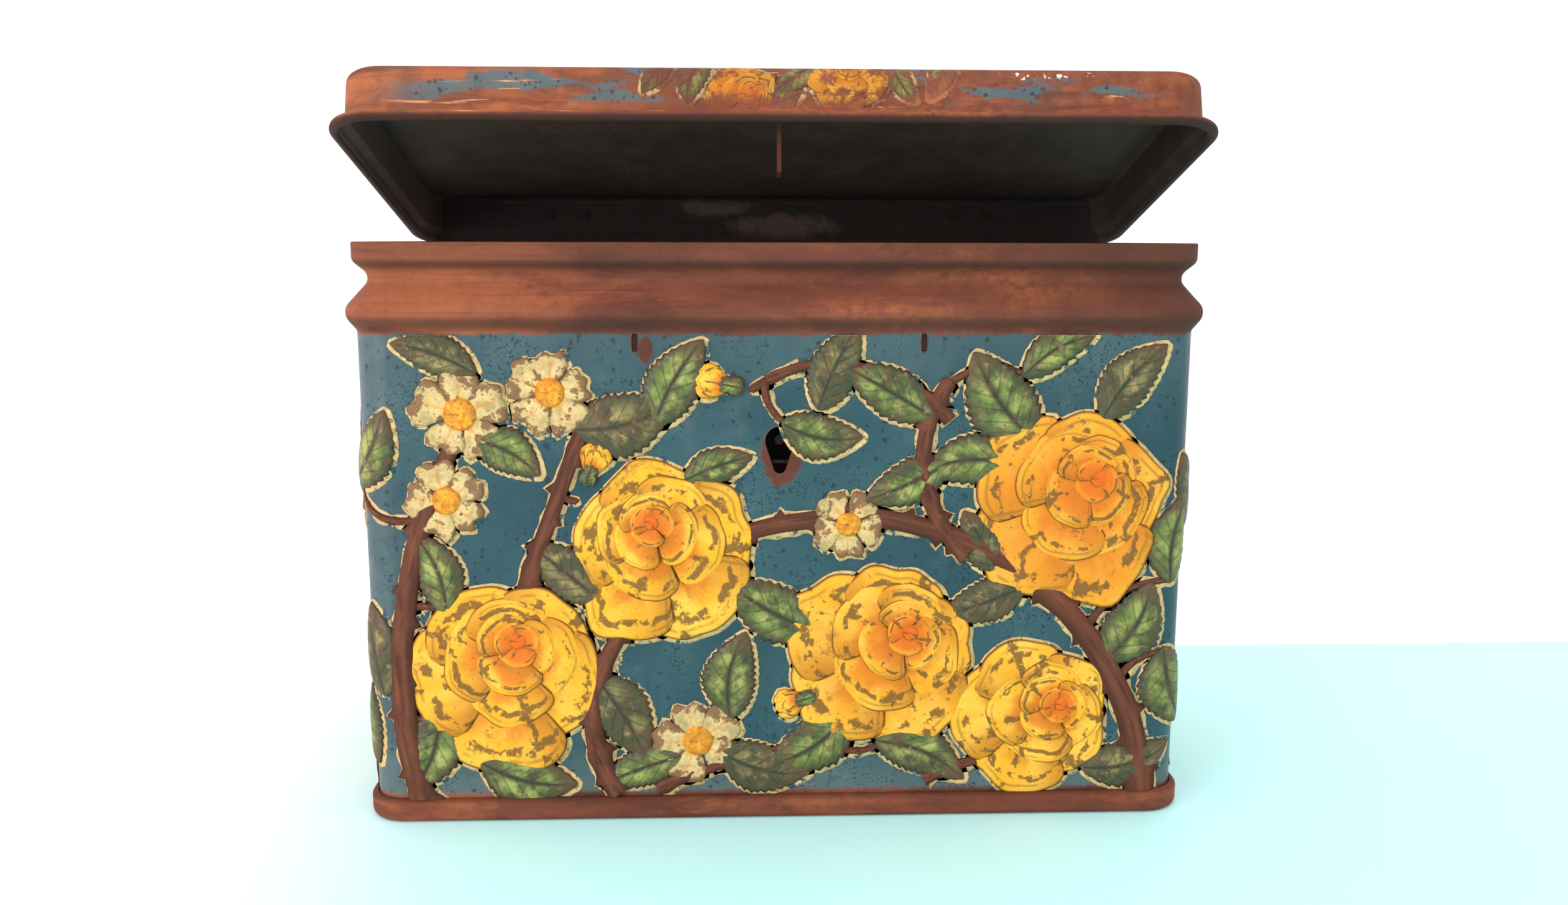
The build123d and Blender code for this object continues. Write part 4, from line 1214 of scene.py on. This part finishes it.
backDrawing = {
    "seed": 37,
    "blooms": [
        (0.23, 0.3, 40, 0.05), (0.08, 0.64, 35, 0.6), (0.4, 0.66, 38, 0.15), (0.64, 0.26, 40, 0.75),
        (0.92, 0.42, 38, 0.2),
    ],
    "blossoms": [(0.62, 0.72, 20), (0.7, 0.6, 16)],
    "buds": [(0.33, 0.93, 9, 100)],
    "leaves": [
        (0.07, 0.18, 22, 230), (0.35, 0.11, 22, 330), (0.23, 0.61, 21, 60), (0.06, 0.9, 21, 100),
        (0.41, 0.92, 21, 30), (0.43, 0.38, 20, 120), (0.58, 0.5, 21, 110), (0.8, 0.1, 22, 340),
        (0.78, 0.5, 21, 150), (0.95, 0.8, 22, 80), (0.96, 0.13, 20, 300), (0.3, 0.86, 19, 150),
        (0.52, 0.06, 19, 20), (0.56, 0.93, 19, 160),
    ],
    "stems": [
        ((0.02, 0.03), (0.15, 0.46), (0.33, 0.6), 5.0, 0.0),
        ((0.45, 0.03), (0.4, 0.26), (0.4, 0.5), 4.2, 0.0),
        ((0.98, 0.97), (0.84, 0.66), (0.72, 0.36), 4.6, 0.0),
        ((0.56, 0.03), (0.56, 0.4), (0.61, 0.66), 4.0, 0.0),
    ],
}

topDrawing = {
    "seed": 53,
    "blooms": [(0.14, 0.44, 38, 0.3), (0.4, 0.6, 37, 0.0), (0.66, 0.36, 39, 0.6), (0.89, 0.62, 35, 0.1)],
    "blossoms": [(0.27, 0.5, 16), (0.53, 0.22, 17), (0.77, 0.66, 16)],
    "buds": [],
    "leaves": [
        (0.27, 0.82, 22, 150), (0.27, 0.22, 22, 330), (0.44, 0.18, 21, 20), (0.54, 0.84, 22, 40),
        (0.78, 0.84, 21, 140), (0.83, 0.18, 22, 340), (0.05, 0.86, 20, 120), (0.05, 0.12, 19, 230),
        (0.97, 0.2, 18, 300),
    ],
    "stems": [
        ((0.02, 0.9), (0.24, 0.54), (0.56, 0.52), 4.4, 0.0),
        ((0.98, 0.08), (0.8, 0.4), (0.5, 0.44), 4.2, 0.0),
    ],
}

skirtDrawing = {
    "seed": 71,
    "blooms": [(0.585, 0.95, 17, 0.5), (0.455, 0.3, 14, 0.9)],
    "blossoms": [],
    "buds": [],
    "leaves": [
        (0.395, 0.7, 11, 250), (0.345, 0.75, 9, 230), (0.52, 0.75, 10, 215), (0.655, 0.65, 10, 300),
        (0.7, 0.85, 11, 250), (0.5, 0.2, 9, 20),
    ],
    "stems": [],
}

skirt = {"middle": -44.4 * mm, "height": 8.4 * mm, "relief": 0.16}


def draw(drawing, centre, width, height, thinner=1.0):
    # one panel's motifs, in metres on a flat sheet
    work = {kind: newDrawing() for kind in ("blooms", "blossoms", "leaves", "stems", "outlines")}
    rng = random.Random(drawing["seed"])

    def spot(across, up):
        return ((across - 0.5) * width / mm, (up - 0.5) * height / mm)

    targets = []
    covers = [(Vector(spot(across, up)), wide / 2) for across, up, wide, warmth in drawing["blooms"]]
    for *points, thick, late in drawing["stems"]:
        points = [spot(*point) for point in points]
        addStem(work, points, thick, rng, late=max(late, 0.05), covers=covers)
        path = arcPath(points)
        targets += [arcSpot(path, share / 24) for share in range(25)]
    targets += [Vector(spot(across, up)) for across, up, wide, warmth in drawing["blooms"]]
    for kind, add in (("leaves", addLeaf), ("buds", addBud)):
        for across, up, length, direction in drawing[kind]:
            turn = math.radians(direction)
            place = Vector(spot(across, up))
            foot = place - ahead(turn) * length * 0.45
            if drawing["stems"]:
                addTwig(work, foot, targets, 24, rng)
            add(work, place, length, turn, rng)
    for across, up, wide in drawing["blossoms"]:
        if drawing["stems"]:
            addTwig(work, spot(across, up), targets, 30, rng)
        addBlossom(work, spot(across, up), wide, rng.uniform(0, 1.2), rng)
    for across, up, wide, warmth in drawing["blooms"]:
        addBloom(work, spot(across, up), wide, warmth, rng.uniform(0, 1.0), rng.uniform(-0.6, 2.6), rng)
    for sheet in work.values():
        bmesh.ops.scale(sheet, vec=(mm, mm, mm * thinner), verts=sheet.verts)
        bmesh.ops.translate(sheet, vec=(*centre, 0), verts=sheet.verts)
    return work


def crop(sheet, low, high):
    # cuts a drawing off at the panel's foot and top
    for level, facing in ((low, -1), (high, 1)):
        everything = [*sheet.verts, *sheet.edges, *sheet.faces]
        plane = {"plane_co": (0, level, 0), "plane_no": (0, facing, 0)}
        bmesh.ops.bisect_plane(sheet, geom=everything, clear_outer=True, **plane)


def finishPiece(sheet, name, place, finish, body):
    for vert in sheet.verts:
        vert.co = place(*vert.co)
    for face in sheet.faces:
        face.smooth = True
    data = bpy.data.meshes.new(name)
    sheet.to_mesh(data)
    sheet.free()
    data.materials.append(finish)
    piece = bpy.data.objects.new(name, data)
    bpy.context.scene.collection.objects.link(piece)
    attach(piece, body)


def makeFlowers(wallFinishes, lidFinishes):
    foot, top = size["panelFoot"], size["panelTop"]
    middle, high = (foot + top) / 2, top - foot
    toSide = flatWidth / 2 + cornerRun + flatDepth / 2
    panels = [
        ("front", frontDrawing, 0.0, flatWidth),
        ("right", sideDrawing, toSide, flatDepth),
        ("back", backDrawing, 2 * toSide, flatWidth),
        ("left", sideDrawing, -toSide, flatDepth),
    ]
    for side, drawing, centre, width in panels:
        for kind, sheet in draw(drawing, (centre, middle), width, high).items():
            crop(sheet, foot, top - 0.3 * mm)
            finishPiece(sheet, f"{side}_{kind}", wallPlace, wallFinishes[kind], "box")
    for kind, sheet in draw(topDrawing, (0, 0), flatWidth, flatDepth).items():
        finishPiece(sheet, f"lid_{kind}", lidPlace, lidFinishes[kind], "lid")
    work = draw(skirtDrawing, (0, skirt["middle"]), flatWidth, skirt["height"], skirt["relief"])
    for kind, sheet in work.items():
        if sheet.verts:
            crop(sheet, skirt["middle"] - skirt["height"] / 2, 0)
            finishPiece(sheet, f"skirt_{kind}", lidPlace, lidFinishes[kind], "lid")
    print("flower work made")


def dressNode(node, finish):
    data = frame["nodes"][node].data
    data.materials.clear()
    data.materials.append(finish)


def dressNodes():
    dressNode("body_shell", printedTinFinish())
    dressNode("bottom_plate", seamFinish())
    dressNode("lid_shell", lidTinFinish())
    hingeIron = ironFinish("hingeIron", bodyPoint, "hinge")
    # painted shade: the lock's parts inside the box are made almost black
    lockIron = ironFinish("lockIron", bodyPoint, "lock", 0.88)
    darkIron = ironFinish("darkIron", bodyPoint, "dark", 0.97)
    special = {
        "lock_key_post": darkIron,
        "lock_case": darkIron,
        "lock_staple": ironFinish("stapleIron", bodyPoint, "hinge", 0.36),
        "lid_leaf_rivets": ironFinish("rivetIron", shutPoint, "hinge", 0.0, True),
    }
    for node in frame["nodes"]:
        if node in special:
            dressNode(node, special[node])
        elif node.startswith("hinge") or "rivets" in node or node == "lid_rim_wire":
            dressNode(node, hingeIron)
        elif node.startswith("lock"):
            dressNode(node, lockIron)
    print("tinplate and iron finished")


studio = {
    "floorSize": 6.0,
    "tableEdge": 75 * mm,  # behind this line the floor is white
    "tableBlue": (0.58, 0.98, 0.99),
    "floorWhite": (0.97, 0.98, 0.99),
    "skyLight": 1.3,
    "keyPlace": (-0.72, -0.85, 0.24),
    "keySize": 0.45,
    "keyPower": 6.0,
}


def areaLight(name, place, width, power):
    data = bpy.data.lights.new(name, "AREA")
    data.size = width
    data.energy = power
    lamp = bpy.data.objects.new(name, data)
    bpy.context.scene.collection.objects.link(lamp)
    aim = Vector((0, 0, 70 * mm)) - Vector(place)
    lamp.matrix_world = Matrix.Translation(place) @ aim.to_track_quat("-Z", "Y").to_matrix().to_4x4()


def makeStudio():
    floor = bmesh.new()
    bmesh.ops.create_grid(floor, x_segments=2, y_segments=2, size=studio["floorSize"] / 2)
    data = bpy.data.meshes.new("floor")
    floor.to_mesh(data)
    floor.free()
    finish, shader = startFinish("paleTable", 0.6, 0.3)
    x, y = splitPoint(bodyPoint())[:2]
    behind = between(y, studio["tableEdge"] / mm - 1, studio["tableEdge"] / mm + 1)
    # painted light: the table also turns white towards the left
    share = most(behind, between(x, -50, -150))
    feed(shader, {"Base Color": mixed(share, studio["tableBlue"], studio["floorWhite"])})
    data.materials.append(finish)
    piece = bpy.data.objects.new("floor", data)
    bpy.context.scene.collection.objects.link(piece)
    world = bpy.data.worlds.new("sky")
    bpy.context.scene.world = world
    world.use_nodes = True
    background = world.node_tree.nodes["Background"]
    background.inputs["Strength"].default_value = studio["skyLight"]
    background.inputs["Color"].default_value = (1, 1, 1, 1)
    areaLight("keyLight", studio["keyPlace"], studio["keySize"], studio["keyPower"])
    bpy.context.scene.view_settings.view_transform = "Standard"
    print("studio made")


makeCamera()
makeStudio()
flowerFinishes = [
    ("blooms", petalFinish, "petalYellow"),
    ("blossoms", blossomFinish, "blossomCream"),
    ("leaves", leafFinish, "leafGreen"),
    ("stems", stemFinish, "stemBrown"),
    ("outlines", outlineFinish, "outlineCream"),
]
makeFlowers(
    {kind: makeFinish(name) for kind, makeFinish, name in flowerFinishes},
    {kind: makeFinish(name + "Worn", shutPoint, True) for kind, makeFinish, name in flowerFinishes},
)
dressNodes()
